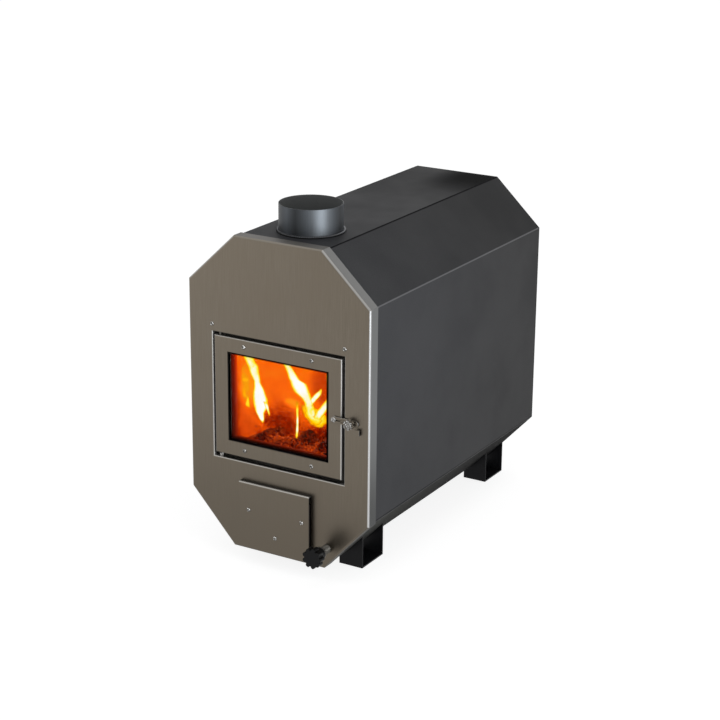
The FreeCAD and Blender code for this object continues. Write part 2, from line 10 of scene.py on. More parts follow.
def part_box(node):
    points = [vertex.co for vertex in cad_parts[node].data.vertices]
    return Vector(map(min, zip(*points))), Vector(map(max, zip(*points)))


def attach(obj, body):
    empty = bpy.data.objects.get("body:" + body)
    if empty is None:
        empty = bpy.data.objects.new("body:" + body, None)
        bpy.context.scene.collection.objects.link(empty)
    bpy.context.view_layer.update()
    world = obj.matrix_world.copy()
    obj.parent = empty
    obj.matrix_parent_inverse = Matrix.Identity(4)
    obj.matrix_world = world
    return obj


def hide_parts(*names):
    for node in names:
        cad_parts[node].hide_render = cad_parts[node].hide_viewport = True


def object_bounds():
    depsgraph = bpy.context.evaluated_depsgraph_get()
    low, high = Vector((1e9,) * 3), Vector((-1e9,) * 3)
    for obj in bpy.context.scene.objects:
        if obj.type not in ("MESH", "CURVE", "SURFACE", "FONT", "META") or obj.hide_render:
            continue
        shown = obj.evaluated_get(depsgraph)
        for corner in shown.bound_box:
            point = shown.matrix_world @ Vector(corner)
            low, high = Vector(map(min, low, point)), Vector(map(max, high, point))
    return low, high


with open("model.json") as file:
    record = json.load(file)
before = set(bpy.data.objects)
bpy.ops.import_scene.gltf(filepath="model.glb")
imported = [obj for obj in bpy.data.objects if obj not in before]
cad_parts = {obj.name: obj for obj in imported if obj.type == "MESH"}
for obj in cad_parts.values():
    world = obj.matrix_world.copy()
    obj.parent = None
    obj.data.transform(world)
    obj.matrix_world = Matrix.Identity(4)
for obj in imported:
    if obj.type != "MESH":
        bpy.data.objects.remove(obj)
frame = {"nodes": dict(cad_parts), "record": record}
cadLow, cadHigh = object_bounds()
nodes = frame["nodes"]
scene = bpy.context.scene
print("frame loaded:", len(nodes), "nodes")


# camera at the photograph's viewing angle

shot = {
    "place": (2.3062, -3.9592, 1.9555),
    "yaw": 30.563,
    "pitch": 18.660,
    "roll": 0.512,
    "lens": 95.56,
    "sensor": 36.0,
    "clip": 200.0,
}


def makeCamera():
    data = bpy.data.cameras.new("shotCamera")
    data.lens = shot["lens"]
    data.sensor_width = shot["sensor"]
    data.clip_end = shot["clip"]
    camera = bpy.data.objects.new("shotCamera", data)
    turn = Matrix.Rotation(math.radians(shot["yaw"]), 4, "Z")
    turn = turn @ Matrix.Rotation(math.radians(90 - shot["pitch"]), 4, "X")
    turn = turn @ Matrix.Rotation(math.radians(shot["roll"]), 4, "Z")
    camera.matrix_world = Matrix.Translation(shot["place"]) @ turn
    scene.collection.objects.link(camera)
    scene.camera = camera


makeCamera()
print("camera set")


# small helpers for node trees

# where most values of a noise lie
noiseSpan = (0.3, 0.7)


def addNode(tree, kind, **settings):
    node = tree.nodes.new(kind)
    for key, value in settings.items():
        setattr(node, key, value)
    return node


def feed(tree, socket, value):
    # a socket takes a link, anything else is set on it
    if isinstance(value, bpy.types.NodeSocket):
        tree.links.new(value, socket)
    else:
        socket.default_value = value


def fill(tree, node, inputs):
    # each value goes to the input that it is named after or numbered for
    for label, value in inputs.items():
        feed(tree, node.inputs[label], value)
    return node


def mathNode(tree, operation, first, second=0.0):
    return fill(tree, addNode(tree, "ShaderNodeMath", operation=operation), {0: first, 1: second}).outputs[0]


def times(tree, first, *others):
    for value in others:
        first = mathNode(tree, "MULTIPLY", first, value)
    return first


def plus(tree, first, second):
    return mathNode(tree, "ADD", first, second)


def awayFrom(tree, value, centre):
    return mathNode(tree, "ABSOLUTE", mathNode(tree, "SUBTRACT", value, centre))


def axesOf(tree, vector):
    return fill(tree, addNode(tree, "ShaderNodeSeparateXYZ"), {0: vector}).outputs


def mixColor(tree, factor, first, second, blend="MIX"):
    node = addNode(tree, "ShaderNodeMix", data_type="RGBA", blend_type=blend)
    ends = [end if isinstance(end, bpy.types.NodeSocket) else (*end, 1) for end in (first, second)]
    return fill(tree, node, {0: factor, 6: ends[0], 7: ends[1]}).outputs[2]


def mapRange(tree, value, fromLow, fromHigh, toLow, toHigh, smooth=False):
    # a range that runs downwards is turned round, because a smooth step needs a rising one
    linked = any(isinstance(end, bpy.types.NodeSocket) for end in (fromLow, fromHigh))
    if not linked and fromLow > fromHigh:
        fromLow, fromHigh, toLow, toHigh = fromHigh, fromLow, toHigh, toLow
    node = addNode(tree, "ShaderNodeMapRange")
    node.interpolation_type = "SMOOTHSTEP" if smooth else "LINEAR"
    return fill(tree, node, dict(enumerate((value, fromLow, fromHigh, toLow, toHigh)))).outputs[0]


def rise(tree, value, span, top=1.0):
    return mapRange(tree, value, *span, 0.0, top, True)


def fall(tree, value, span, top=1.0):
    return mapRange(tree, value, *span, top, 0.0, True)


def sway(tree, value, reach):
    # a noise turned into a value that goes as far below 0 as above it
    return mapRange(tree, value, *noiseSpan, -reach, reach)


def noiseTexture(tree, place, scale, detail=3.0, roughness=0.55, distortion=0.0):
    return fill(tree, addNode(tree, "ShaderNodeTexNoise"), {
        "Vector": place, "Scale": scale, "Detail": detail, "Roughness": roughness,
        "Distortion": distortion}).outputs[0]


def colorRamp(tree, value, stops):
    node = addNode(tree, "ShaderNodeValToRGB")
    ramp = node.color_ramp
    while len(ramp.elements) < len(stops):
        ramp.elements.new(0.5)
    for element, (position, color) in zip(ramp.elements, stops):
        element.position = position
        element.color = (*color, 1)
    feed(tree, node.inputs[0], value)
    return node.outputs[0]


def bumpNode(tree, height, strength, distance):
    return fill(tree, addNode(tree, "ShaderNodeBump"), {
        "Height": height, "Strength": strength, "Distance": distance}).outputs[0]


def newGroup(name, inputs, outputs):
    tree = bpy.data.node_groups.new(name, "ShaderNodeTree")
    for label, kind, value in inputs:
        socket = tree.interface.new_socket(label, in_out="INPUT", socket_type=kind)
        if value is not None:
            socket.default_value = value
    for label in outputs:
        tree.interface.new_socket(label, in_out="OUTPUT", socket_type="NodeSocketFloat")
    return tree, addNode(tree, "NodeGroupInput"), addNode(tree, "NodeGroupOutput")


def useGroup(tree, group, **values):
    return fill(tree, addNode(tree, "ShaderNodeGroup", node_tree=group), values)


# effects that several finishes share

def makeBrushedGrain():
    # fine lines along Z, and slow clouding from handling
    tree, given, result = newGroup(
        "brushedGrain",
        [("Place", "NodeSocketVector", None), ("Fineness", "NodeSocketFloat", 900.0),
         ("Length", "NodeSocketFloat", 40.0), ("Clouding", "NodeSocketFloat", 9.0)],
        ["Streak", "Cloud"])
    along = mathNode(tree, "DIVIDE", 1.0, given.outputs["Length"])
    stretch = fill(tree, addNode(tree, "ShaderNodeCombineXYZ"), {0: 1.0, 1: 1.0, 2: along})
    scaled = fill(tree, addNode(tree, "ShaderNodeVectorMath", operation="MULTIPLY"), {
        0: given.outputs["Place"], 1: stretch.outputs[0]})
    streak = noiseTexture(tree, scaled.outputs[0], given.outputs["Fineness"], 4.0, 0.7)
    cloud = noiseTexture(tree, given.outputs["Place"], given.outputs["Clouding"], 3.0, 0.5)
    feed(tree, result.inputs["Streak"], mapRange(tree, streak, *noiseSpan, 0.0, 1.0))
    feed(tree, result.inputs["Cloud"], rise(tree, cloud, noiseSpan))
    return tree


def makeSpeckledCoat():
    # fine speckle of a sprayed coat, with faint larger patches
    tree, given, result = newGroup(
        "speckledCoat",
        [("Place", "NodeSocketVector", None), ("Fineness", "NodeSocketFloat", 700.0),
         ("Patches", "NodeSocketFloat", 6.0)],
        ["Speckle", "Patch", "Peel"])
    speckle = noiseTexture(tree, given.outputs["Place"], given.outputs["Fineness"], 2.0, 0.6)
    patch = noiseTexture(tree, given.outputs["Place"], given.outputs["Patches"], 4.0, 0.55)
    peelScale = times(tree, given.outputs["Fineness"], 0.45)
    peel = noiseTexture(tree, given.outputs["Place"], peelScale, 1.0, 0.4)
    feed(tree, result.inputs["Speckle"], mapRange(tree, speckle, 0.32, 0.68, 0.0, 1.0))
    feed(tree, result.inputs["Patch"], rise(tree, patch, noiseSpan))
    feed(tree, result.inputs["Peel"], peel)
    return tree


def makeGlowCracks():
    # cracks that glow between charred scales, and loose ash on top
    tree, given, result = newGroup(
        "glowCracks",
        [("Place", "NodeSocketVector", None), ("Scale", "NodeSocketFloat", 40.0),
         ("Width", "NodeSocketFloat", 0.12)],
        ["Crack", "Ash", "Scale"])
    wobble = fill(tree, addNode(tree, "ShaderNodeTexNoise"), {
        "Vector": given.outputs["Place"], "Scale": given.outputs["Scale"]})
    moved = fill(tree, addNode(tree, "ShaderNodeVectorMath", operation="MULTIPLY_ADD"), {
        0: wobble.outputs["Color"], 1: (0.02, 0.02, 0.02), 2: given.outputs["Place"]})
    cells = fill(tree, addNode(tree, "ShaderNodeTexVoronoi", feature="DISTANCE_TO_EDGE"), {
        "Vector": moved.outputs[0], "Scale": given.outputs["Scale"]})
    reach = noiseTexture(tree, given.outputs["Place"], 14.0, 2.0, 0.5)
    crack = fall(tree, cells.outputs["Distance"], (0.0, given.outputs["Width"]))
    hot = rise(tree, reach, (0.42, 0.62))
    ash = noiseTexture(tree, given.outputs["Place"], 90.0, 4.0, 0.65)
    feed(tree, result.inputs["Crack"], times(tree, crack, hot))
    feed(tree, result.inputs["Ash"], rise(tree, ash, (0.48, 0.7)))
    feed(tree, result.inputs["Scale"], cells.outputs["Distance"])
    return tree


brushedGrain = makeBrushedGrain()
speckledCoat = makeSpeckledCoat()
glowCracks = makeGlowCracks()


# finishes

grainDepth = 0.0004
peelDepth = 0.0003
lineCore = 0.4
black = (0.0, 0.0, 0.0)


def newMaterial(name):
    material = bpy.data.materials.new(name)
    material.use_nodes = True
    return material, material.node_tree


def wire(material, inputs):
    tree = material.node_tree
    fill(tree, tree.nodes["Principled BSDF"], inputs)
    return material


def objectPlace(tree, turn=(0, 0, 0)):
    coordinates = addNode(tree, "ShaderNodeTexCoord")
    return fill(tree, addNode(tree, "ShaderNodeMapping"), {
        "Vector": coordinates.outputs["Object"], "Rotation": [math.radians(angle) for angle in turn]}).outputs[0]


def lineMask(tree, value, centre, half):
    # 1 on a thin line where the value meets its centre
    return fall(tree, awayFrom(tree, value, centre), (half * lineCore, half))


def sheetNormal(tree):
    # the flat normal of a face in the piece's own frame
    geometry = addNode(tree, "ShaderNodeNewGeometry")
    local = addNode(tree, "ShaderNodeVectorTransform", vector_type="NORMAL", convert_from="WORLD",
                    convert_to="OBJECT")
    return axesOf(tree, fill(tree, local, {0: geometry.outputs["True Normal"]}).outputs[0])


def grainOf(tree, place, look):
    # streaks, and the tone they and the clouding give
    grain = useGroup(tree, brushedGrain, Place=place, Fineness=look["fineness"],
                     Length=look["length"], Clouding=look["clouding"])
    streak = grain.outputs["Streak"]
    tone = mixColor(tree, streak, look["dark"], look["light"])
    shade = mapRange(tree, grain.outputs["Cloud"], 0, 1, 0, look["cloudShare"])
    return streak, mixColor(tree, shade, tone, look["cloudTone"])


def brushedMetal(name, look):
    material, tree = newMaterial(name)
    streak, tone = grainOf(tree, objectPlace(tree, look["turn"]), look)
    # painted highlight and shade: the tone turns lighter or darker by which way a face points
    if "paintedSheen" in look:
        normal = sheetNormal(tree)
        tilt = plus(tree, normal[2], times(tree, normal[0], look["paintedSheenSide"]))
        for span, color in look["paintedSheen"]:
            tone = mixColor(tree, rise(tree, tilt, span), tone, color)
    # painted glints: small bright and dark specks scattered by a noise
    if "paintedGlints" in look:
        paintedGlintSpots = noiseTexture(tree, objectPlace(tree), look["paintedGlints"], 2.0, 0.5)
        for span, color in look["paintedGlintTones"]:
            tone = mixColor(tree, rise(tree, paintedGlintSpots, span), tone, color)
    return wire(material, {
        "Base Color": tone, "Roughness": mapRange(tree, streak, 0, 1, *look["rough"]),
        "Normal": bumpNode(tree, streak, look["bump"], grainDepth), "Metallic": look["metallic"]})


coatBase = {"patchShare": 0.5, "fineness": 620, "patches": 5, "rough": (0.4, 0.5), "bump": 0.08, "metallic": 0.0,
            "specular": 0.12}


def coatedSurface(name, own):
    look = {**coatBase, **own}
    material, tree = newMaterial(name)
    coat = useGroup(tree, speckledCoat, Place=objectPlace(tree), Fineness=look["fineness"],
                    Patches=look["patches"])
    tone = mixColor(tree, coat.outputs["Speckle"], look["dark"], look["light"])
    shade = mapRange(tree, coat.outputs["Patch"], 0, 1, 0, look["patchShare"])
    return wire(material, {
        "Base Color": mixColor(tree, shade, tone, look["patchTone"]),
        "Roughness": mapRange(tree, coat.outputs["Patch"], 0, 1, *look["rough"]),
        "Normal": bumpNode(tree, coat.outputs["Peel"], look["bump"], peelDepth),
        "Metallic": look["metallic"], "Specular IOR Level": look["specular"]})


glassLap = 0.008
glassLow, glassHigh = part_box("door_glass")


def windowMask(tree, axes, margin):
    # 1 inside the window's opening, widened by the margin
    mask = 1.0
    for axis in (0, 2):
        middle = (glassLow[axis] + glassHigh[axis]) / 2
        reach = (glassHigh[axis] - glassLow[axis]) / 2 - glassLap + margin
        mask = times(tree, mathNode(tree, "LESS_THAN", awayFrom(tree, axes[axis], middle), reach), mask)
    return mask


def makePlateLook():
    # brushed sheet with painted shade low down, painted highlights and shade on its bends, painted light and shade by
    # facing on its neutral turned-back sides, a painted highlight on the door's returns, and near-black where its
    # edges line the window
    look = {
        "dark": (0.134, 0.114, 0.089), "light": (0.176, 0.152, 0.121), "cloudTone": (0.150, 0.126, 0.097),
        "cloudShare": 0.5, "fineness": 900, "length": 60, "clouding": 7, "rough": (0.34, 0.44), "bump": 0.05,
        "low": (0.112, 0.095, 0.074), "lowShadeSpan": (0.05, 0.45), "lowShadeShare": 0.75,
        "paintedFoldLight": [(0.0, (0.1, 0.09, 0.075)), (0.25, (0.115, 0.1, 0.08)), (0.5, (0.44, 0.44, 0.44)),
                 (0.85, (0.3, 0.295, 0.285)), (1.0, (0.21, 0.19, 0.16))],
        "paintedDoorFoldLight": [(0.0, (0.1, 0.09, 0.075)), (0.3, (0.4, 0.39, 0.375)), (1.0, (0.4, 0.385, 0.36))],
        "bendFacing": (0.8, 0.97), "leastFlat": 0.05, "doorFrom": 0.195, "belowDrawerTop": 0.02, "aboveDoor": 0.03,
        "soot": (0.003, 0.0025, 0.002), "sootMargin": 0.001,
        "side": [(0.2, (0.03, 0.029, 0.027)), (0.45, (0.16, 0.163, 0.164)), (0.5, (0.18, 0.184, 0.184)),
                 (0.85, (0.152, 0.153, 0.152)), (1.0, (0.137, 0.13, 0.12))],
        "sideFacing": (0.06, 0.3), "sideShadeLow": (0.18, 0.4), "sideLowShade": 0.52, "sideRough": 0.15,
        "paintedJambLight": (0.36, 0.357, 0.35), "jambLine": (0.18, 0.015),
    }
    material, tree = newMaterial("brushedPlate")
    place = objectPlace(tree)
    streak, tone = grainOf(tree, place, look)
    axes = axesOf(tree, place)
    # painted shade: the sheet turns darker towards the bottom
    low = fall(tree, axes[2], look["lowShadeSpan"], look["lowShadeShare"])
    tone = mixColor(tree, low, tone, look["low"])
    normal = sheetNormal(tree)
    facing = mathNode(tree, "ABSOLUTE", normal[1])
    # painted highlights and shade on the bends: their tone follows which way they face
    turned = fall(tree, facing, look["bendFacing"])
    aside = mathNode(tree, "ABSOLUTE", axes[0])
    flat = mathNode(tree, "SQRT", mathNode(tree, "SUBTRACT", 1.0, times(tree, facing, facing)))
    lean = mathNode(tree, "DIVIDE", normal[2], mathNode(tree, "MAXIMUM", flat, look["leastFlat"]))
    lean = mapRange(tree, lean, -1.0, 1.0, 0.0, 1.0)
    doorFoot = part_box("ash_drawer_front")[1].z - look["belowDrawerTop"]
    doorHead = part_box("door_leaf")[1].z + look["aboveDoor"]
    byDoor = mathNode(tree, "LESS_THAN", aside, look["doorFrom"])
    for compare, height in (("GREATER_THAN", doorFoot), ("LESS_THAN", doorHead)):
        byDoor = times(tree, byDoor, mathNode(tree, compare, axes[2], height))
    paintedBendLight = mixColor(tree, byDoor, colorRamp(tree, lean, look["paintedFoldLight"]), colorRamp(tree, lean, look["paintedDoorFoldLight"]))
    tone = mixColor(tree, turned, tone, paintedBendLight)
    # painted light and shade on the turned-back sides: lighter or darker by which way they face, with painted shade
    # low down
    side = fall(tree, facing, look["sideFacing"])
    upward = mapRange(tree, normal[2], -1.0, 1.0, 0.0, 1.0)
    paintedSideLight = colorRamp(tree, upward, look["side"])
    sideLowShade = fall(tree, axes[2], look["sideShadeLow"], look["sideLowShade"])
    tone = mixColor(tree, side, tone, mixColor(tree, sideLowShade, paintedSideLight, black))
    # painted highlight on the returns beside the door
    atJamb = times(tree, lineMask(tree, aside, *look["jambLine"]), side, byDoor)
    tone = mixColor(tree, atJamb, tone, look["paintedJambLight"])
    inWindow = times(tree, side, windowMask(tree, axes, look["sootMargin"]))
    satin = mapRange(tree, streak, 0, 1, *look["rough"])
    return wire(material, {
        "Base Color": mixColor(tree, inWindow, tone, look["soot"]),
        "Roughness": plus(tree, satin, times(tree, side, look["sideRough"])),
        "Normal": bumpNode(tree, streak, look["bump"], grainDepth), "Metallic": 1.0})


brushedPlate = makePlateLook()


def makeCollarLook():
    # brushed round the pipe, a painted highlight along one side with painted shade round the rest, plain sooted grey
    # inside
    look = {
        "dark": (0.78, 0.78, 0.78), "light": (1.0, 1.0, 1.0), "cloudTone": (0.85, 0.86, 0.88), "cloudShare": 0.4,
        "fineness": 800, "length": 30, "clouding": 14, "rough": (0.42, 0.52), "bump": 0.05, "metallic": 0.7,
        "towards": (0.75, -0.66), "inside": (0.115, 0.12, 0.12), "insideFrom": 0.0008,
        "round": [(0.3, (0.012, 0.014, 0.015)), (0.6, (0.055, 0.061, 0.068)), (0.72, (0.08, 0.089, 0.1)),
                  (0.85, (0.03, 0.033, 0.036)), (0.91, (0.06, 0.066, 0.073)), (0.95, (0.095, 0.105, 0.117)),
                  (0.98, (0.145, 0.16, 0.175)), (1.0, (0.245, 0.268, 0.29))],
    }
    material, tree = newMaterial("graphiteCollar")
    place = objectPlace(tree)
    streak, tone = grainOf(tree, place, look)
    normal = sheetNormal(tree)
    # painted highlight and shade: the tone follows which way the round face points
    turned = [times(tree, normal[axis], look["towards"][axis]) for axis in (0, 1)]
    lit = mapRange(tree, plus(tree, *turned), -1.0, 1.0, 0.0, 1.0)
    tone = mixColor(tree, 1.0, tone, colorRamp(tree, lit, look["round"]), "MULTIPLY")
    low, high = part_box("flue_collar")
    middle, wall = (low + high) / 2, (high.x - low.x) / 2 - look["insideFrom"]
    axes = axesOf(tree, place)
    parts = [mathNode(tree, "SUBTRACT", axes[axis], middle[axis]) for axis in (0, 1)]
    out = plus(tree, *[times(tree, part, part) for part in parts])
    inside = mathNode(tree, "LESS_THAN", out, wall * wall)
    return wire(material, {
        "Base Color": mixColor(tree, inside, tone, look["inside"]),
        "Metallic": mapRange(tree, inside, 0.0, 1.0, look["metallic"], 0.0),
        "Roughness": mapRange(tree, streak, 0, 1, *look["rough"]),
        "Normal": bumpNode(tree, streak, look["bump"], grainDepth)})


graphiteCollar = makeCollarLook()
# the weld bead's sheen tones are a painted highlight on its upper faces and painted shade on its lower faces
weldSteel = brushedMetal("weldSteel", {
    "dark": (0.03, 0.031, 0.034), "light": (0.07, 0.074, 0.082), "cloudTone": (0.035, 0.032, 0.03),
    "cloudShare": 0.5, "fineness": 500, "length": 4, "clouding": 60, "turn": (0, 0, 0),
    "rough": (0.3, 0.45), "bump": 0.1, "metallic": 0.9,
    "paintedSheen": [((0.75, 1.0), (0.13, 0.135, 0.145)), ((0.4, 0.0), (0.008, 0.008, 0.008))], "paintedSheenSide": 0.3,
})
# the pipe steel's sheen tones are a painted highlight on upper faces and painted shade on lower faces
pipeSteel = brushedMetal("pipeSteel", {
    "dark": (0.06, 0.056, 0.05), "light": (0.12, 0.113, 0.1), "cloudTone": (0.075, 0.068, 0.058),
    "cloudShare": 0.6, "fineness": 500, "length": 25, "clouding": 12, "turn": (90, 0, 0),
    "rough": (0.28, 0.42), "bump": 0.05, "metallic": 1.0,
    "paintedSheen": [((0.85, 1.15), (0.14, 0.136, 0.128)), ((0.1, -0.6), (0.02, 0.019, 0.017))], "paintedSheenSide": 0.7,
})
# bright steel: the sheen tones are a painted highlight and painted shade by facing, and the glint tones are painted
# bright and dark glints
brightSteel = brushedMetal("brightSteel", {
    "dark": (0.14, 0.134, 0.124), "light": (0.22, 0.212, 0.198), "cloudTone": (0.16, 0.15, 0.138),
    "cloudShare": 0.4, "fineness": 1200, "length": 6, "clouding": 60, "turn": (0, 90, 0),
    "rough": (0.16, 0.28), "bump": 0.03, "metallic": 1.0,
    "paintedSheen": [((0.2, 0.5), (0.9, 0.9, 0.89)), ((-0.1, -0.4), (0.015, 0.014, 0.013))], "paintedSheenSide": 0.4,
    "paintedGlints": 330.0,
    "paintedGlintTones": [((0.47, 0.4), (0.06, 0.056, 0.05)), ((0.57, 0.64), (0.75, 0.75, 0.74))],
})


def makeShellCoat():
    # satin graphite paint with dark seams, a painted highlight on the upper fold, and painted shade towards the rear,
    # on upward faces, low down, under the lower fold and in the rear corner of the flat top
    look = {
        "dark": (0.034, 0.035, 0.038), "light": (0.047, 0.048, 0.053), "rear": (0.022, 0.022, 0.023),
        "seam": (0.006, 0.006, 0.007), "paintedFoldLight": (0.12, 0.12, 0.125),
        "underShade": [(0.1, (0.055, 0.055, 0.05)), (0.35, (0.03, 0.03, 0.027)), (0.6, (0.007, 0.007, 0.0065))],
        "underShadeShare": 0.9, "rearFrom": 0.1, "rearShare": 0.85, "upperFacing": (0.2, 0.9), "upwardShadeShare": 0.4,
        "lowShadeSpan": (0.25, 0.5), "lowShadeShare": 0.2, "fineness": 620, "patches": 5, "rough": (0.4, 0.5), "bump": 0.08,
        "cornerAcross": (-0.05, 0.06), "cornerAlong": (0.15, 0.42), "cornerShadeShare": 0.95, "flatFrom": 0.99,
        "upperRough": 0.13, "dullRough": 0.5, "specular": 0.1, "seamHalf": 0.0026, "foldHalf": 0.0022,
        "folds": (0.6906, 0.1653), "foldBand": 0.003, "clear": 0.05,
    }
    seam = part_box("shell_top")[1].x
    upperFold, lowerFold = look["folds"]
    material, tree = newMaterial("graphiteShell")
    place = objectPlace(tree)
    coat = useGroup(tree, speckledCoat, Place=place, Fineness=look["fineness"], Patches=look["patches"])
    axes = axesOf(tree, place)
    aside = mathNode(tree, "ABSOLUTE", axes[0])
    beside = mathNode(tree, "GREATER_THAN", aside, seam + look["clear"])
    above = mathNode(tree, "GREATER_THAN", axes[2], upperFold + look["clear"])
    tone = mixColor(tree, coat.outputs["Speckle"], look["dark"], look["light"])
    # painted shade: darker towards the rear
    depth = rise(tree, axes[1], (cadLow.y + look["rearFrom"], cadHigh.y), look["rearShare"])
    tone = mixColor(tree, depth, tone, look["rear"])
    # painted shade: upward faces darker
    upward = rise(tree, sheetNormal(tree)[2], look["upperFacing"])
    tone = mixColor(tree, times(tree, upward, look["upwardShadeShare"]), tone, black)
    # painted shade: the rear corner of the flat top turns nearly black
    flatTop = mathNode(tree, "GREATER_THAN", upward, look["flatFrom"])
    corner = times(tree, rise(tree, axes[0], look["cornerAcross"]),
                   rise(tree, axes[1], look["cornerAlong"], look["cornerShadeShare"]), flatTop)
    tone = mixColor(tree, corner, tone, black)
    # painted shade: darker low down
    lowShade = fall(tree, axes[2], look["lowShadeSpan"], look["lowShadeShare"])
    tone = mixColor(tree, lowShade, tone, black)
    # painted shade: the band under the lower fold darkens towards the rear
    underShade = mapRange(tree, axes[2], lowerFold - look["foldBand"], lowerFold, 1.0, 0.0)
    along = mapRange(tree, axes[1], cadLow.y, cadHigh.y, 0.0, 1.0)
    tone = mixColor(tree, times(tree, underShade, look["underShadeShare"]), tone, colorRamp(tree, along, look["underShade"]))
    # dark seam lines, and a painted highlight as a pale line along the upper fold
    creases = [(lineMask(tree, aside, seam, look["seamHalf"]), above, look["seam"]),
               (lineMask(tree, axes[2], upperFold, look["foldHalf"]), beside, look["paintedFoldLight"]),
               (lineMask(tree, axes[2], lowerFold + look["foldBand"], look["seamHalf"]), beside, look["seam"])]
    for line, where, color in creases:
        tone = mixColor(tree, times(tree, line, where), tone, color)
    dull = mathNode(tree, "MAXIMUM", mathNode(tree, "MAXIMUM", underShade, corner), times(tree, creases[0][0], above))
    matt = plus(tree, times(tree, upward, look["upperRough"]), times(tree, dull, look["dullRough"]))
    satin = mapRange(tree, coat.outputs["Patch"], 0, 1, *look["rough"])
    return wire(material, {
        "Base Color": tone, "Roughness": plus(tree, satin, matt),
        "Normal": bumpNode(tree, coat.outputs["Peel"], look["bump"], peelDepth),
        "Specular IOR Level": look["specular"]})


graphiteShell = makeShellCoat()
graphiteRear = coatedSurface("graphiteRear", {
    "dark": (0.03, 0.03, 0.032), "light": (0.042, 0.042, 0.045), "patchTone": (0.034, 0.034, 0.037),
})
footBlack = coatedSurface("footBlack", {
    "dark": (0.005, 0.005, 0.006), "light": (0.010, 0.010, 0.011), "patchTone": (0.007, 0.007, 0.008),
    "fineness": 600, "patches": 18, "rough": (0.3, 0.42),
})
capPlastic = coatedSurface("capPlastic", {
    "dark": (0.0025, 0.0025, 0.003), "light": (0.006, 0.006, 0.0065), "patchTone": (0.004, 0.004, 0.0045),
    "fineness": 1500, "patches": 60, "rough": (0.34, 0.46),
})
gasketRubber = coatedSurface("gasketRubber", {
    "dark": (0.010, 0.010, 0.010), "light": (0.022, 0.022, 0.021), "patchTone": (0.016, 0.015, 0.014),
    "patchShare": 0.6, "fineness": 1800, "patches": 80, "rough": (0.7, 0.85), "bump": 0.1, "specular": 0.3,
})
sootCoat = {"patchShare": 0.8, "fineness": 260, "patches": 12, "rough": (0.6, 0.85), "bump": 0.15}
fireSteel = coatedSurface("fireSteel", {
    **sootCoat, "dark": (0.005, 0.0045, 0.004), "light": (0.012, 0.0105, 0.009),
    "patchTone": (0.008, 0.006, 0.005), "specular": 0.15,
})
fireReveal = coatedSurface("fireReveal", {
    **sootCoat, "dark": (0.001, 0.0008, 0.0006), "light": (0.003, 0.0024, 0.002),
    "patchTone": (0.002, 0.0015, 0.001), "specular": 0.05,
})


def paintRevealFirelight(material):
    # painted firelight: the inner edges of the fire mouth glow in the colour of the fire, more so farther in
    look = {"rise": (0.35, 1.0), "margin": 0.004, "facing": 0.8, "frame": (0.22, 0.205, 0.18),
            "side": [(0.0, (0.05, 0.001, 0.0)), (0.5, (0.22, 0.005, 0.0)), (1.0, (0.85, 0.05, 0.0))],
            "foot": [(0.0, (0.03, 0.0008, 0.0)), (0.5, (0.2, 0.008, 0.0)), (1.0, (0.7, 0.03, 0.0))]}
    tree = material.node_tree
    sooted = tree.nodes["Principled BSDF"].inputs["Base Color"].links[0].from_socket
    mouthLow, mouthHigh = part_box("door_frame")[0].y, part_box("front_wall")[1].y
    axes = axesOf(tree, objectPlace(tree))
    inward = mapRange(tree, axes[1], mouthLow, mouthHigh, 0.0, 1.0)
    normal = sheetNormal(tree)
    glow = black
    for axis, key in ((0, "side"), (2, "foot")):
        towards = mathNode(tree, "GREATER_THAN", normal[axis], look["facing"])
        glow = mixColor(tree, towards, glow, colorRamp(tree, inward, look[key]))
    glow = mixColor(tree, windowMask(tree, axes, look["margin"]), black, glow)
    taller = mapRange(tree, axes[2], glassLow.z, glassHigh.z, *look["rise"])
    forward = mathNode(tree, "LESS_THAN", normal[1], -look["facing"])
    wire(material, {
        "Emission Color": mixColor(tree, taller, black, glow), "Emission Strength": 1.0,
        "Base Color": mixColor(tree, forward, sooted, look["frame"])})


paintRevealFirelight(fireReveal)
traySteel = coatedSurface("traySteel", {
    **sootCoat, "dark": (0.022, 0.019, 0.017), "light": (0.05, 0.043, 0.037),
    "patchTone": (0.03, 0.022, 0.017), "rough": (0.55, 0.8), "metallic": 0.3, "specular": 0.4,
})
grateIron = coatedSurface("grateIron", {
    "dark": (0.012, 0.011, 0.011), "light": (0.03, 0.029, 0.028), "patchTone": (0.035, 0.022, 0.016),
    "patchShare": 0.6, "fineness": 420, "patches": 25, "rough": (0.65, 0.85), "bump": 0.4,
    "metallic": 0.4, "specular": 0.4,
})


def makeRope():
    # braided ceramic rope, greyed by smoke
    look = {"strand": 260.0, "pale": (0.2, 0.19, 0.17), "deep": (0.055, 0.05, 0.045), "soot": (0.03, 0.027, 0.025),
            "slant": 45, "wander": 0.6, "rough": 0.9, "sootScale": 30.0, "sootSpan": (0.4, 0.7), "sootShare": 0.8,
            "bump": 0.6, "depth": 0.001}
    material, tree = newMaterial("sealRope")
    places = [objectPlace(tree, (0, angle, 0)) for angle in (look["slant"], -look["slant"])]
    strands = []
    for place in places:
        wave = addNode(tree, "ShaderNodeTexWave", wave_type="BANDS", bands_direction="X")
        fill(tree, wave, {"Vector": place, "Scale": look["strand"], "Distortion": look["wander"]})
        strands.append(wave.outputs["Fac"])
    braid = times(tree, *strands)
    patches = noiseTexture(tree, places[0], look["sootScale"])
    soot = rise(tree, patches, look["sootSpan"], look["sootShare"])
    tone = mixColor(tree, braid, look["deep"], look["pale"])
    return wire(material, {
        "Base Color": mixColor(tree, soot, tone, look["soot"]), "Roughness": look["rough"],
        "Normal": bumpNode(tree, braid, look["bump"], look["depth"])})


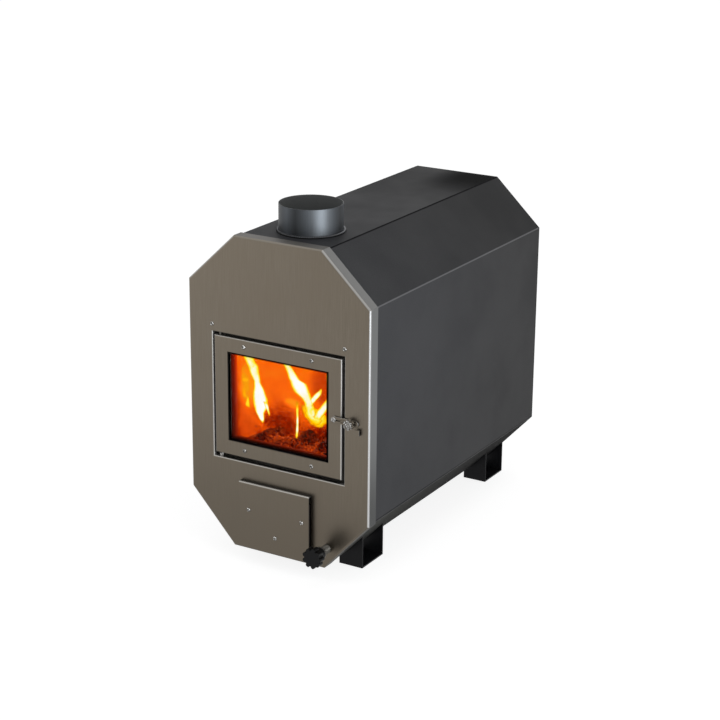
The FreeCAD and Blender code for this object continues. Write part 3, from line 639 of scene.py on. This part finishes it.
def makeGlass():
    # clear ceramic glass, sooted black along the edges of the window
    # each edge: where its black ends, counted from the edge, and how far it fades from there
    look = {"rough": (0.0, 0.02), "hazeScale": 16.0, "left": (0.002, 0.005), "right": (-0.007, -0.003),
            "foot": (0.001, 0.018), "top": (-0.0045, -0.003), "soot": (0.002, 0.0015, 0.001),
            "clear": (1.0, 0.99, 0.97), "hazy": (0.96, 0.93, 0.88), "hazeSpan": (0.45, 0.75),
            "roughSpan": (0.35, 0.75), "index": 1.08}
    material, tree = newMaterial("ceramicGlass")
    place = objectPlace(tree)
    haze = noiseTexture(tree, place, look["hazeScale"], 4.0, 0.6)
    tone = mixColor(tree, mapRange(tree, haze, *look["hazeSpan"], 0, 1), look["clear"], look["hazy"])
    axes = axesOf(tree, place)
    sides = [(0, glassLow.x + glassLap, "left"), (0, glassHigh.x - glassLap, "right"),
             (2, glassLow.z + glassLap, "foot"), (2, glassHigh.z - glassLap, "top")]
    for axis, edge, key in sides:
        start = edge + look[key][0]
        soot = fall(tree, axes[axis], (start, start + look[key][1]))
        tone = mixColor(tree, soot, tone, look["soot"])
    return wire(material, {
        "Base Color": tone, "Roughness": mapRange(tree, haze, *look["roughSpan"], *look["rough"]),
        "Transmission Weight": 1.0, "IOR": look["index"]})


sealRope = makeRope()
ceramicGlass = makeGlass()
finishOf = {
    "brushed_plate": brushedPlate, "graphite_shell": graphiteShell, "graphite_collar": graphiteCollar,
    "fire_steel": fireSteel, "grate_iron": grateIron, "foot_black": footBlack, "pipe_steel": pipeSteel,
    "bright_steel": brightSteel, "door_glass": ceramicGlass, "seal_rope": sealRope,
    "drain_rubber": gasketRubber, "cap_black": capPlastic,
}
# nodes that differ from what their slot gives
ownFinish = {
    "rear_plate": graphiteRear, "door_frame": fireReveal, "front_wall": fireReveal,
    "latch_bar": brushedPlate, "latch_keeper": brushedPlate, "hinge_pins": pipeSteel, "drain_ring": pipeSteel,
    "drawer_sleeve": traySteel, "drawer_runner_left": traySteel, "drawer_runner_right": traySteel,
}
for traySide in ("floor", "left", "right", "front", "back"):
    ownFinish["ash_tray_" + traySide] = traySteel


def dressNodes():
    for part in frame["record"]["subparts"]:
        data = nodes[part["node"]].data
        data.materials.clear()
        data.materials.append(ownFinish.get(part["node"], finishOf[part["material_slot"]]))


dressNodes()
print("finishes:", len(bpy.data.materials))


# edges of the sheet-metal and turned pieces, rounded by modifiers

edges = {
    "latch_bar": (0.0007, 2), "latch_knob": (0.0016, 3), "latch_washer": (0.0003, 1),
    "drain_cap": (0.0012, 3), "drain_ring": (0.0008, 2), "latch_keeper": (0.0005, 2),
    "flue_collar": (0.0005, 2), "water_outlet_pipe": (0.0006, 2), "water_inlet_pipe": (0.0006, 2),
    "shell_top": (0.0008, 2), "shell_left": (0.0012, 3), "shell_right": (0.0012, 3), "shell_bottom": (0.0008, 2),
    "rear_plate": (0.0008, 2), "foot_front_left": (0.0012, 2), "foot_front_right": (0.0012, 2),
    "foot_rear_left": (0.0012, 2), "foot_rear_right": (0.0012, 2), "fire_grate": (0.0015, 2),
    "glass_retainer": (0.0004, 2), "smoke_baffle": (0.0008, 2),
}


edgeRule = {"join": 0.00002, "angle": 30}


def roundEdges():
    for name, (width, segments) in edges.items():
        piece = nodes[name]
        weld = piece.modifiers.new("joinCorners", "WELD")
        weld.merge_threshold = edgeRule["join"]
        bevel = piece.modifiers.new("roundEdges", "BEVEL")
        bevel.width = width
        bevel.segments = segments
        bevel.limit_method = "ANGLE"
        bevel.angle_limit = math.radians(edgeRule["angle"])
        piece.modifiers.new("flatFaces", "WEIGHTED_NORMAL")


roundEdges()
print("edges rounded:", len(edges))


# pieces made here

joinWithin = 0.000005


def finishPiece(bm, name, material, body, smooth=True):
    bmesh.ops.remove_doubles(bm, verts=bm.verts, dist=joinWithin)
    bmesh.ops.recalc_face_normals(bm, faces=bm.faces)
    mesh = bpy.data.meshes.new(name)
    bm.to_mesh(mesh)
    bm.free()
    for face in mesh.polygons:
        face.use_smooth = smooth
    mesh.materials.append(material)
    piece = bpy.data.objects.new(name, mesh)
    scene.collection.objects.link(piece)
    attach(piece, body)
    return piece


weldBead = {"radius": 0.0032, "lift": 0.0018, "ripples": 96, "rippleHeight": 0.0007, "steps": 288,
            "sides": 12, "stand": 0.75, "upward": 0.6}


def makeWeldBead():
    # rippled bead where the collar meets the top sheet
    low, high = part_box("flue_weld")
    centre = (low + high) / 2
    collarLow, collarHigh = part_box("flue_collar")
    ring = (collarHigh.x - collarLow.x) / 2 + weldBead["radius"] * weldBead["stand"]
    bm = bmesh.new()
    bmesh.ops.create_circle(bm, segments=weldBead["sides"], radius=weldBead["radius"])
    bmesh.ops.rotate(bm, verts=bm.verts, matrix=Matrix.Rotation(math.radians(90), 3, "X"))
    start = Vector((centre.x + ring, centre.y, low.z + weldBead["lift"]))
    bmesh.ops.translate(bm, verts=bm.verts, vec=start)
    bmesh.ops.spin(bm, geom=bm.verts[:] + bm.edges[:], cent=centre, axis=(0, 0, 1), angle=2 * math.pi,
                   steps=weldBead["steps"], use_merge=True)
    for vert in bm.verts:
        around = math.atan2(vert.co.y - centre.y, vert.co.x - centre.x)
        outward = Vector((math.cos(around), math.sin(around), weldBead["upward"]))
        vert.co += outward * weldBead["rippleHeight"] * math.sin(around * weldBead["ripples"])
    bead = finishPiece(bm, "flueWeldBead", weldSteel, "heater")
    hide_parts("flue_weld")


drainThread = {"ridge": 0.0007, "pitch": 0.0018, "margin": 0.0012, "sink": 0.0002, "steps": 48}


def makeDrainThread():
    # thread ridges on the stretch of nipple that shows between the ring and the front plate
    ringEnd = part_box("drain_ring")[1].y
    nippleLow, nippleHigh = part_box("drain_nipple")
    centre = (nippleLow + nippleHigh) / 2
    radius = (nippleHigh.x - nippleLow.x) / 2
    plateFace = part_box("front_plate")[0].y
    start = ringEnd + drainThread["margin"]
    count = int((plateFace - drainThread["margin"] - start) / drainThread["pitch"])
    bm = bmesh.new()
    last = None
    for step in range(2 * count + 1):
        height = radius - drainThread["sink"] + (drainThread["ridge"] if step % 2 else 0.0)
        vert = bm.verts.new((centre.x + height, start + step * drainThread["pitch"] / 2, centre.z))
        if last:
            bm.edges.new((last, vert))
        last = vert
    bmesh.ops.spin(bm, geom=bm.verts[:] + bm.edges[:], cent=centre, axis=(0, 1, 0), angle=2 * math.pi,
                   steps=drainThread["steps"], use_merge=True)
    finishPiece(bm, "drainThread", pipeSteel, "heater", smooth=False)


makeWeldBead()
makeDrainThread()
print("weld bead and drain thread made")


# the fire: logs and embers on the grate, flames above them

def windowPlace(tree):
    # what the fire's own map holds: the place across, and the place up or the heat
    layer = addNode(tree, "ShaderNodeUVMap", uv_map="along")
    return axesOf(tree, layer.outputs[0])[:2]


glowOnly = {"Emission Strength": 1.0, "Base Color": (*black, 1), "Specular IOR Level": 0.0, "Roughness": 1.0}


def makeFlameLook():
    # white at the heart of a tongue, through yellow and orange to nothing at its edges
    look = {"lickScale": 50.0, "lick": 0.1, "core": (0.1, 0.5), "alpha": (0.24, 0.44)}
    stops = [(0.08, (1.0, 0.13, 0.0)), (0.3, (1.0, 0.3, 0.0)), (0.48, (1.0, 0.62, 0.0)),
             (0.64, (0.98, 0.88, 0.06)), (0.8, (1.0, 0.97, 0.7)), (0.95, (1.0, 1.0, 1.0))]
    material, tree = newMaterial("flameTongue")
    across, peak = windowPlace(tree)
    core = fall(tree, awayFrom(tree, across, 0.5), look["core"])
    lick = noiseTexture(tree, objectPlace(tree), look["lickScale"], 3.0, 0.6, 0.8)
    heat = plus(tree, times(tree, core, peak), sway(tree, lick, look["lick"]))
    return wire(material, {**glowOnly, "Emission Color": colorRamp(tree, heat, stops),
                           "Alpha": rise(tree, heat, look["alpha"])})


tongueLook = makeFlameLook()


def spotMask(tree, across, along, centre, reach):
    # 1 in the middle of an oval spot, fading to 0 at its rim
    parts = []
    for value, middle, half in zip((across, along), centre, reach):
        part = mathNode(tree, "DIVIDE", mathNode(tree, "SUBTRACT", value, middle), half)
        parts.append(times(tree, part, part))
    return fall(tree, plus(tree, *parts), (0.1, 1.0))


def makeGlowLook():
    # the broad orange body of the fire, dark at its left side, red-brown towards its foot
    look = {"broad": 18.0, "fine": 170.0, "foot": (0.46, 0.78), "footSpan": (0.2, 0.66),
            "left": (-0.02, 0.12), "lean": 0.49, "leanFrom": 0.6, "stirBroad": 0.07, "stirFine": 0.1,
            "stirUp": ((0.2, 0.7), (2.4, 0.6)), "stirAcross": ((0.15, 0.35), (0.35, 1.0)), "ragged": 0.015,
            "thinning": 0.12, "thinSpan": (1.15, 1.36)}
    stops = [(0.0, (0.006, 0.0003, 0.0)), (0.2, (0.09, 0.003, 0.0)), (0.4, (0.36, 0.016, 0.0)),
             (0.58, (0.72, 0.07, 0.001)), (0.76, (0.97, 0.125, 0.001)), (1.0, (1.0, 0.3, 0.004))]
    # what each oval patch takes from the heat: (across, up), (half width, half height), amount
    patches = [((0.53, 0.36), (0.20, 0.26), 0.16), ((0.95, 0.84), (0.17, 0.30), 0.26),
               ((0.19, 0.62), (0.10, 0.34), -0.16), ((0.2, 0.24), (0.16, 0.2), -0.12),
               ((0.63, 0.56), (0.10, 0.07), -0.2), ((0.94, 0.22), (0.22, 0.24), 0.22)]
    material, tree = newMaterial("flameCurtain")
    across, up = windowPlace(tree)
    place = objectPlace(tree)
    broad = noiseTexture(tree, place, look["broad"], 3.0, 0.55, 0.8)
    fine = noiseTexture(tree, place, look["fine"], 4.0, 0.65, 0.6)
    heat = mapRange(tree, up, *look["footSpan"], *look["foot"], True)
    stirred = times(tree, *[mapRange(tree, value, *look[key][0], *look[key][1])
                            for value, key in ((up, "stirUp"), (across, "stirAcross"))])
    stir = plus(tree, sway(tree, broad, look["stirBroad"]), sway(tree, fine, look["stirFine"]))
    heat = plus(tree, heat, times(tree, stir, stirred))
    for centre, reach, amount in patches:
        spot = times(tree, spotMask(tree, across, up, centre, reach), amount)
        heat = mathNode(tree, "SUBTRACT", heat, spot)
    over = mathNode(tree, "MAXIMUM", mathNode(tree, "SUBTRACT", up, look["leanFrom"]), 0.0)
    lean = times(tree, over, over, look["lean"])
    edge = plus(tree, plus(tree, across, lean), sway(tree, broad, look["ragged"]))
    heat = times(tree, heat, mapRange(tree, edge, *look["left"], 0.0, 1.0))
    thin = plus(tree, up, sway(tree, broad, look["thinning"]))
    return wire(material, {**glowOnly, "Emission Color": colorRamp(tree, heat, stops),
                           "Alpha": fall(tree, thin, look["thinSpan"])})


def makeCharLook(name, own):
    # charred scales, mottled with glow and cracked
    look = {"char": (0.003, 0.0015, 0.001), "bark": (0.008, 0.003, 0.002), "specular": 0.05, "rough": 0.9,
            "bump": 0.5, "depth": 0.002, "mottleSpan": (0.46, 0.58), "crackShare": 0.6, **own}
    material, tree = newMaterial(name)
    place = objectPlace(tree)
    cracks = useGroup(tree, glowCracks, Place=place, Scale=look["scale"], Width=look["width"])
    bark = mixColor(tree, cracks.outputs["Scale"], look["char"], look["bark"])
    mottle = noiseTexture(tree, place, look["mottle"], 5.0, 0.7)
    mottled = mapRange(tree, mottle, *look["mottleSpan"], 0.0, look["mottleShare"])
    heat = plus(tree, mottled, times(tree, cracks.outputs["Crack"], look["crackShare"]))
    return wire(material, {
        "Base Color": mixColor(tree, cracks.outputs["Ash"], bark, look["ash"]), "Roughness": look["rough"],
        "Emission Color": colorRamp(tree, heat, look["glow"]), "Emission Strength": 1.0,
        "Normal": bumpNode(tree, cracks.outputs["Scale"], look["bump"], look["depth"]),
        "Specular IOR Level": look["specular"]})


curtainLook = makeGlowLook()
logLook = makeCharLook("charredLog", {
    "scale": 190.0, "width": 0.14, "ash": (0.01, 0.005, 0.003), "mottle": 190.0, "mottleShare": 0.62,
    "glow": [(0.0, (0.002, 0.0, 0.0)), (0.25, (0.035, 0.0006, 0.0)), (0.55, (0.17, 0.005, 0.0)),
             (0.9, (0.62, 0.06, 0.003))],
})
emberLook = makeCharLook("emberCoal", {
    "scale": 230.0, "width": 0.18, "ash": (0.012, 0.006, 0.004), "mottle": 260.0, "mottleShare": 0.85,
    "glow": [(0.0, (0.004, 0.0, 0.0)), (0.3, (0.065, 0.001, 0.0)), (0.65, (0.25, 0.008, 0.0)),
             (1.0, (0.8, 0.1, 0.005))],
})

windowSize = (glassHigh.x - glassLow.x - 2 * glassLap, glassHigh.z - glassLow.z - 2 * glassLap)
grateLow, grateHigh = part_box("fire_grate")
grateTop = grateHigh.z


def behindGlass(across, up, depth):
    # the point at this depth behind the glass that the camera sees at a place on the window
    x = glassLow.x + glassLap + across * windowSize[0]
    z = glassLow.z + glassLap + up * windowSize[1]
    onGlass = Vector((x, glassHigh.y, z))
    step = onGlass - Vector(shot["place"])
    return onGlass + step * (depth / step.y)


# the body of the fire: depth behind the glass at the left and the right edge of the window, and its sway
fireBody = {"near": 0.095, "far": 0.185, "sway": 0.008, "wave": 9.0}


def bodyDepth(across, up):
    swaying = fireBody["sway"] * noise.noise(Vector((across, up, 0)) * fireBody["wave"])
    return fireBody["near"] + across * (fireBody["far"] - fireBody["near"]) + swaying


# each tongue on it, from tip to root: left edge, right edge and height as shares of the window,
# lift in front of the body in metres, and heat
flames = {
    "flameLeft": [
        (0.085, 0.110, 1.320, 0.0105, 0.10), (0.095, 0.160, 1.190, 0.0105, 0.45),
        (0.123, 0.210, 1.064, 0.0105, 0.55), (0.138, 0.239, 0.995, 0.0110, 0.62), (0.178, 0.290, 0.890, 0.0115, 0.75),
        (0.214, 0.308, 0.798, 0.0120, 0.80), (0.250, 0.312, 0.720, 0.0125, 0.85), (0.254, 0.344, 0.647, 0.0130, 1.05),
        (0.246, 0.370, 0.555, 0.0135, 1.15), (0.250, 0.384, 0.459, 0.0140, 1.10), (0.268, 0.344, 0.385, 0.0145, 1.05),
        (0.304, 0.348, 0.307, 0.0150, 0.90), (0.330, 0.341, 0.266, 0.0153, 0.30)],
    "flameLeftFork": [
        (0.341, 0.377, 0.514, 0.0155, 0.60), (0.362, 0.395, 0.459, 0.0158, 0.85), (0.388, 0.406, 0.394, 0.0160, 0.70),
        (0.399, 0.406, 0.358, 0.0160, 0.20)],
    "flameLeftSoft": [
        (0.130, 0.190, 0.980, 0.0060, 0.10), (0.110, 0.200, 0.860, 0.0060, 0.33), (0.105, 0.215, 0.690, 0.0063, 0.36),
        (0.115, 0.230, 0.530, 0.0065, 0.34), (0.130, 0.230, 0.380, 0.0068, 0.10)],
    "flameLeftFlick": [
        (0.181, 0.196, 0.560, 0.0115, 0.30), (0.174, 0.199, 0.495, 0.0115, 0.60), (0.156, 0.210, 0.431, 0.0115, 0.55),
        (0.181, 0.225, 0.381, 0.0115, 0.15)],
    "flameRight": [
        (0.455, 0.475, 1.300, 0.0060, 0.10), (0.480, 0.525, 1.180, 0.0060, 0.42),
        (0.507, 0.565, 1.083, 0.0060, 0.50), (0.529, 0.594, 0.995, 0.0065, 0.60), (0.565, 0.645, 0.930, 0.0070, 0.75),
        (0.588, 0.675, 0.880, 0.0075, 0.88), (0.598, 0.700, 0.835, 0.0080, 0.98), (0.615, 0.761, 0.806, 0.0083, 1.00),
        (0.633, 0.785, 0.745, 0.0088, 1.02), (0.659, 0.808, 0.691, 0.0093, 0.92), (0.719, 0.820, 0.647, 0.0095, 0.80),
        (0.749, 0.839, 0.599, 0.0098, 0.80), (0.757, 0.850, 0.548, 0.0100, 0.70), (0.763, 0.870, 0.483, 0.0105, 0.70),
        (0.778, 0.922, 0.439, 0.0108, 0.66), (0.805, 0.905, 0.402, 0.0110, 0.50), (0.830, 0.870, 0.360, 0.0113, 0.12)],
    "flameRightHalo": [
        (0.700, 0.860, 0.610, 0.0025, 0.10), (0.715, 0.900, 0.550, 0.0025, 0.50), (0.720, 0.960, 0.500, 0.0025, 0.60),
        (0.735, 0.990, 0.450, 0.0025, 0.60), (0.760, 0.985, 0.410, 0.0025, 0.52), (0.790, 0.950, 0.370, 0.0025, 0.36),
        (0.830, 0.900, 0.325, 0.0025, 0.08)],
    "flameRightEdge": [
        (0.967, 1.022, 0.697, 0.0120, 0.45), (0.938, 1.004, 0.642, 0.0123, 0.68), (0.906, 0.982, 0.587, 0.0125, 0.80),
        (0.873, 0.949, 0.532, 0.0128, 0.85), (0.855, 0.924, 0.486, 0.0130, 0.76), (0.826, 0.906, 0.445, 0.0130, 0.55)],
    "flameRightInner": [
        (0.909, 0.920, 0.807, 0.0105, 0.10), (0.895, 0.924, 0.766, 0.0108, 0.55), (0.859, 0.913, 0.725, 0.0110, 0.75),
        (0.822, 0.877, 0.670, 0.0113, 0.85), (0.793, 0.837, 0.610, 0.0115, 0.85), (0.775, 0.830, 0.573, 0.0115, 0.50)],
    "flameRightStrip": [
        (0.972, 0.984, 1.220, 0.0135, 0.10), (0.966, 0.992, 1.120, 0.0135, 0.45),
        (0.964, 0.996, 1.032, 0.0135, 0.60), (0.964, 0.996, 0.917, 0.0135, 0.65), (0.967, 0.995, 0.803, 0.0135, 0.60),
        (0.975, 0.991, 0.725, 0.0135, 0.35), (0.978, 0.989, 0.688, 0.0135, 0.10)],
    "flameThin": [
        (0.663, 0.696, 0.606, 0.0720, 0.25), (0.665, 0.694, 0.528, 0.0730, 0.55), (0.672, 0.692, 0.413, 0.0740, 0.75),
        (0.668, 0.692, 0.289, 0.0750, 0.85), (0.661, 0.685, 0.206, 0.0755, 0.60), (0.667, 0.674, 0.165, 0.0755, 0.10)],
}
flameBulge = 0.1
flameSpread = 1.65


def makeFlame(name, stations):
    bm = bmesh.new()
    layer = bm.loops.layers.uv.new("along")
    towards = (Vector(shot["place"]) - behindGlass(*stations[0][1:3], fireBody["near"])).normalized()
    rung = None
    for left, right, up, lift, heat in stations:
        middle, half = (left + right) / 2, (right - left) / 2 * flameSpread
        first, last = [behindGlass(across, up, bodyDepth(across, up) - lift)
                       for across in (middle - half, middle + half)]
        bulge = towards * (last - first).length * flameBulge
        places = [first, (first + last) / 2 + bulge, last]
        if rung is None:
            row = [bm.verts.new(place) for place in places]
            rung = [bm.edges.new(pair) for pair in zip(row, row[1:])]
        else:
            made = bmesh.ops.extrude_edge_only(bm, edges=rung)["geom"]
            rung = [item for item in made if isinstance(item, bmesh.types.BMEdge)]
            row = [item for item in made if isinstance(item, bmesh.types.BMVert)]
            for vert, place in zip(row, places):
                vert.co = place
    bm.verts.index_update()
    for face in bm.faces:
        for loop in face.loops:
            rank, column = divmod(loop.vert.index, 3)
            loop[layer].uv = (column / 2, stations[rank][4])
    piece = finishPiece(bm, name, tongueLook, "heater")
    finer = piece.modifiers.new("finerRungs", "SUBSURF")
    finer.subdivision_type = "SIMPLE"
    finer.uv_smooth = "NONE"
    finer.levels = finer.render_levels = 2


def makeFlameCurtain():
    # one wavy sheet of flame that leans from the left wall of the firebox towards the back on the right
    spec = {"across": (-0.06, 1.66), "up": (-0.06, 1.46), "cells": (64, 56), "clear": 0.005}
    fireLeft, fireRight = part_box("grate_ledge_left")[0].x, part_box("grate_ledge_right")[1].x
    bm = bmesh.new()
    layer = bm.loops.layers.uv.new("along")
    bmesh.ops.create_grid(bm, x_segments=spec["cells"][0], y_segments=spec["cells"][1], size=0.5)
    for vert in bm.verts:
        for axis, key in ((0, "across"), (1, "up")):
            low, high = spec[key]
            vert.co[axis] = low + (vert.co[axis] + 0.5) * (high - low)
    for face in bm.faces:
        for loop in face.loops:
            loop[layer].uv = loop.vert.co.xy
    for vert in bm.verts:
        across, up = vert.co.xy
        place = behindGlass(across, up, bodyDepth(across, up))
        place.x = min(max(place.x, fireLeft + spec["clear"]), fireRight - spec["clear"])
        place.z = max(place.z, grateTop + spec["clear"])
        vert.co = place
    finishPiece(bm, "flameCurtain", curtainLook, "heater")


# logs: foot end, head end, radius, in metres from the middle of the grate's front edge
logs = {
    "logLeft": ((-0.132, 0.012, 0.036), (-0.124, 0.330, 0.038), 0.034),
    "logMidLeft": ((-0.052, 0.016, 0.036), (-0.056, 0.350, 0.038), 0.034),
    "logMidRight": ((0.040, 0.012, 0.036), (0.034, 0.340, 0.038), 0.034),
    "logRight": ((0.126, 0.014, 0.036), (0.120, 0.330, 0.038), 0.034),
    "logTopLeft": ((-0.106, 0.012, 0.066), (-0.108, 0.085, 0.067), 0.020),
    "logTopMiddle": ((0.004, 0.010, 0.076), (0.000, 0.090, 0.077), 0.022),
    "logTopRight": ((0.088, 0.012, 0.083), (0.086, 0.120, 0.083), 0.026),
}


def makeLog(name, foot, head, radius):
    spec = {"sides": 26, "rings": 22, "bark": 0.005, "barkScale": 40.0, "split": 0.16, "taper": 0.92,
            "core": 0.5, "stretch": 0.25, "shift": 40, "long": 0.01}
    front = Vector(((grateLow.x + grateHigh.x) / 2, grateLow.y, grateTop))
    start, end = front + Vector(foot), front + Vector(head)
    along = end - start
    bm = bmesh.new()
    bmesh.ops.create_cone(bm, cap_ends=True, segments=spec["sides"], radius1=radius, radius2=radius * spec["taper"],
                          depth=along.length)
    sides = [edge for edge in bm.edges if abs(edge.verts[0].co.z - edge.verts[1].co.z) > spec["long"]]
    bmesh.ops.subdivide_edges(bm, edges=sides, cuts=spec["rings"], use_grid_fill=True)
    for vert in bm.verts:
        flat = Vector((vert.co.x, vert.co.y, 0))
        if flat.length > radius * spec["core"]:
            grain = Vector((vert.co.x, vert.co.y, vert.co.z * spec["stretch"])) * spec["barkScale"]
            grain += Vector(foot) * spec["shift"]
            vert.co += flat.normalized() * spec["bark"] * noise.fractal(grain, 1.0, 2.0, 3)
        if vert.co.x > radius * (1 - spec["split"]):
            vert.co.x = radius * (1 - spec["split"])
    turn = along.to_track_quat("Z", "Y").to_matrix()
    bmesh.ops.rotate(bm, verts=bm.verts, matrix=turn)
    bmesh.ops.translate(bm, verts=bm.verts, vec=(start + end) / 2)
    finishPiece(bm, name, logLook, "heater", smooth=False)


def makeEmberBed():
    # loose coals heaped on the grate and in the hollows between the logs, each a small lump
    spec = {"bed": 110, "heap": 90, "seed": 11, "size": (0.008, 0.018), "halfWidth": 0.165, "length": 0.34,
            "front": 0.012, "sunk": 0.6, "loose": 0.02, "hollows": (-0.107, 0.002, 0.087), "hollowHeight": 0.056,
            "hollowSpread": 0.02, "hollowLength": (0.01, 0.14), "heapHeight": 0.024, "wide": (0.8, 1.3),
            "high": (0.55, 0.8), "lump": 0.28, "lumpScale": 70, "clear": 0.0005}
    draw = random.Random(spec["seed"])
    bm = bmesh.new()
    for index in range(spec["bed"] + spec["heap"]):
        size = draw.uniform(*spec["size"])
        if index < spec["bed"]:
            place = Vector((draw.uniform(-spec["halfWidth"], spec["halfWidth"]),
                            draw.uniform(spec["front"], spec["length"]),
                            size * spec["sunk"] + spec["loose"] * draw.random() ** 2))
        else:
            place = Vector((draw.choice(spec["hollows"]) + draw.gauss(0, spec["hollowSpread"]),
                            draw.uniform(*spec["hollowLength"]),
                            spec["hollowHeight"] + draw.uniform(0.0, spec["heapHeight"])))
        place += Vector((0, grateLow.y, grateTop))
        made = bmesh.ops.create_icosphere(bm, subdivisions=2, radius=size)["verts"]
        squash = Matrix.Diagonal([draw.uniform(*spec[key]) for key in ("wide", "wide", "high")])
        spin = Matrix.Rotation(draw.uniform(0, math.pi), 3, "Z")
        for vert in made:
            lump = 1 + spec["lump"] * noise.noise(vert.co * spec["lumpScale"] + Vector((index, 0, 0)))
            vert.co = spin @ squash @ (vert.co * lump) + place
            vert.co.z = max(vert.co.z, grateTop + spec["clear"])
    finishPiece(bm, "emberBed", emberLook, "heater", smooth=False)


for flameName, flameStations in flames.items():
    makeFlame(flameName, flameStations)
makeFlameCurtain()
for logName, logEnds in logs.items():
    makeLog(logName, *logEnds)
makeEmberBed()
print("fire laid:", len(logs), "logs and", len(flames), "flames")


# floor, light and surroundings

studio = {
    "floorSize": 60.0, "floorGlow": 0.86, "floorTone": 0.3, "floorBounce": 0.8,
    "ambient": 0.55,
    "lamps": {
        "sideLamp": {"place": (1.75, -1.05, 0.5), "aim": (0, -0.35, 0.5), "size": (0.7, 1.0), "power": 10,
                     "color": (0.9, 0.95, 1.0)},
        "leftLamp": {"place": (-1.6, -1.5, 0.55), "aim": (0, -0.4, 0.5), "size": (1.8, 1.8), "power": 4,
                     "color": (1.0, 1.0, 1.0)},
        "topLamp": {"place": (0.4, -0.6, 2.6), "aim": (0, -0.1, 0.4), "size": (1.6, 1.6), "power": 6,
                    "color": (1.0, 1.0, 1.0)},
        "rearLamp": {"place": (0.83, 1.22, 1.71), "aim": (0.19, -0.42, 0.75), "size": (0.5, 0.5), "power": 2.5,
                     "color": (1.0, 0.98, 0.95)},
    },
}


def showByRay(tree, bounced, seen, output):
    # one shader for what the camera, a reflection or the glass shows, the other for light that bounces
    path = addNode(tree, "ShaderNodeLightPath")
    direct = mathNode(tree, "MAXIMUM", path.outputs["Is Camera Ray"], path.outputs["Is Glossy Ray"])
    direct = mathNode(tree, "MAXIMUM", direct, path.outputs["Is Transmission Ray"])
    choice = addNode(tree, "ShaderNodeMixShader")
    fill(tree, choice, {0: direct, 1: bounced.outputs[0], 2: seen.outputs[0]})
    fill(tree, tree.nodes[output], {0: choice.outputs[0]})


def makeFloor():
    bm = bmesh.new()
    bmesh.ops.create_grid(bm, x_segments=1, y_segments=1, size=studio["floorSize"] / 2)
    mesh = bpy.data.meshes.new("floor")
    bm.to_mesh(mesh)
    bm.free()
    floor = bpy.data.objects.new("floor", mesh)
    scene.collection.objects.link(floor)
    material = bpy.data.materials.new("paleFloor")
    material.use_nodes = True
    tree = material.node_tree
    tree.nodes.remove(tree.nodes["Principled BSDF"])
    lit, bounce = [fill(tree, addNode(tree, "ShaderNodeBsdfDiffuse"), {0: (studio[key],) * 3 + (1,)})
                   for key in ("floorTone", "floorBounce")]
    glow = fill(tree, addNode(tree, "ShaderNodeEmission"), {1: studio["floorGlow"]})
    shown = fill(tree, addNode(tree, "ShaderNodeAddShader"), {0: lit.outputs[0], 1: glow.outputs[0]})
    showByRay(tree, bounce, shown, "Material Output")
    mesh.materials.append(material)


def makeWorld():
    world = bpy.data.worlds.new("studioWorld")
    world.use_nodes = True
    scene.world = world
    tree = world.node_tree
    soft = fill(tree, tree.nodes["Background"], {0: (1, 1, 1, 1), 1: studio["ambient"]})
    white = fill(tree, addNode(tree, "ShaderNodeBackground"), {0: (1, 1, 1, 1)})
    showByRay(tree, soft, white, "World Output")


def makeLamps():
    for name, lamp in studio["lamps"].items():
        data = bpy.data.lights.new(name, "AREA")
        data.shape = "RECTANGLE"
        data.size, data.size_y = lamp["size"]
        data.energy = lamp["power"]
        data.color = lamp["color"]
        light = bpy.data.objects.new(name, data)
        light.location = lamp["place"]
        toward = Vector(lamp["aim"]) - Vector(lamp["place"])
        light.rotation_euler = toward.to_track_quat("-Z", "Y").to_euler()
        scene.collection.objects.link(light)


makeFloor()
makeWorld()
makeLamps()
scene.view_settings.view_transform = "Standard"
print("studio lit:", len(studio["lamps"]), "lamps")
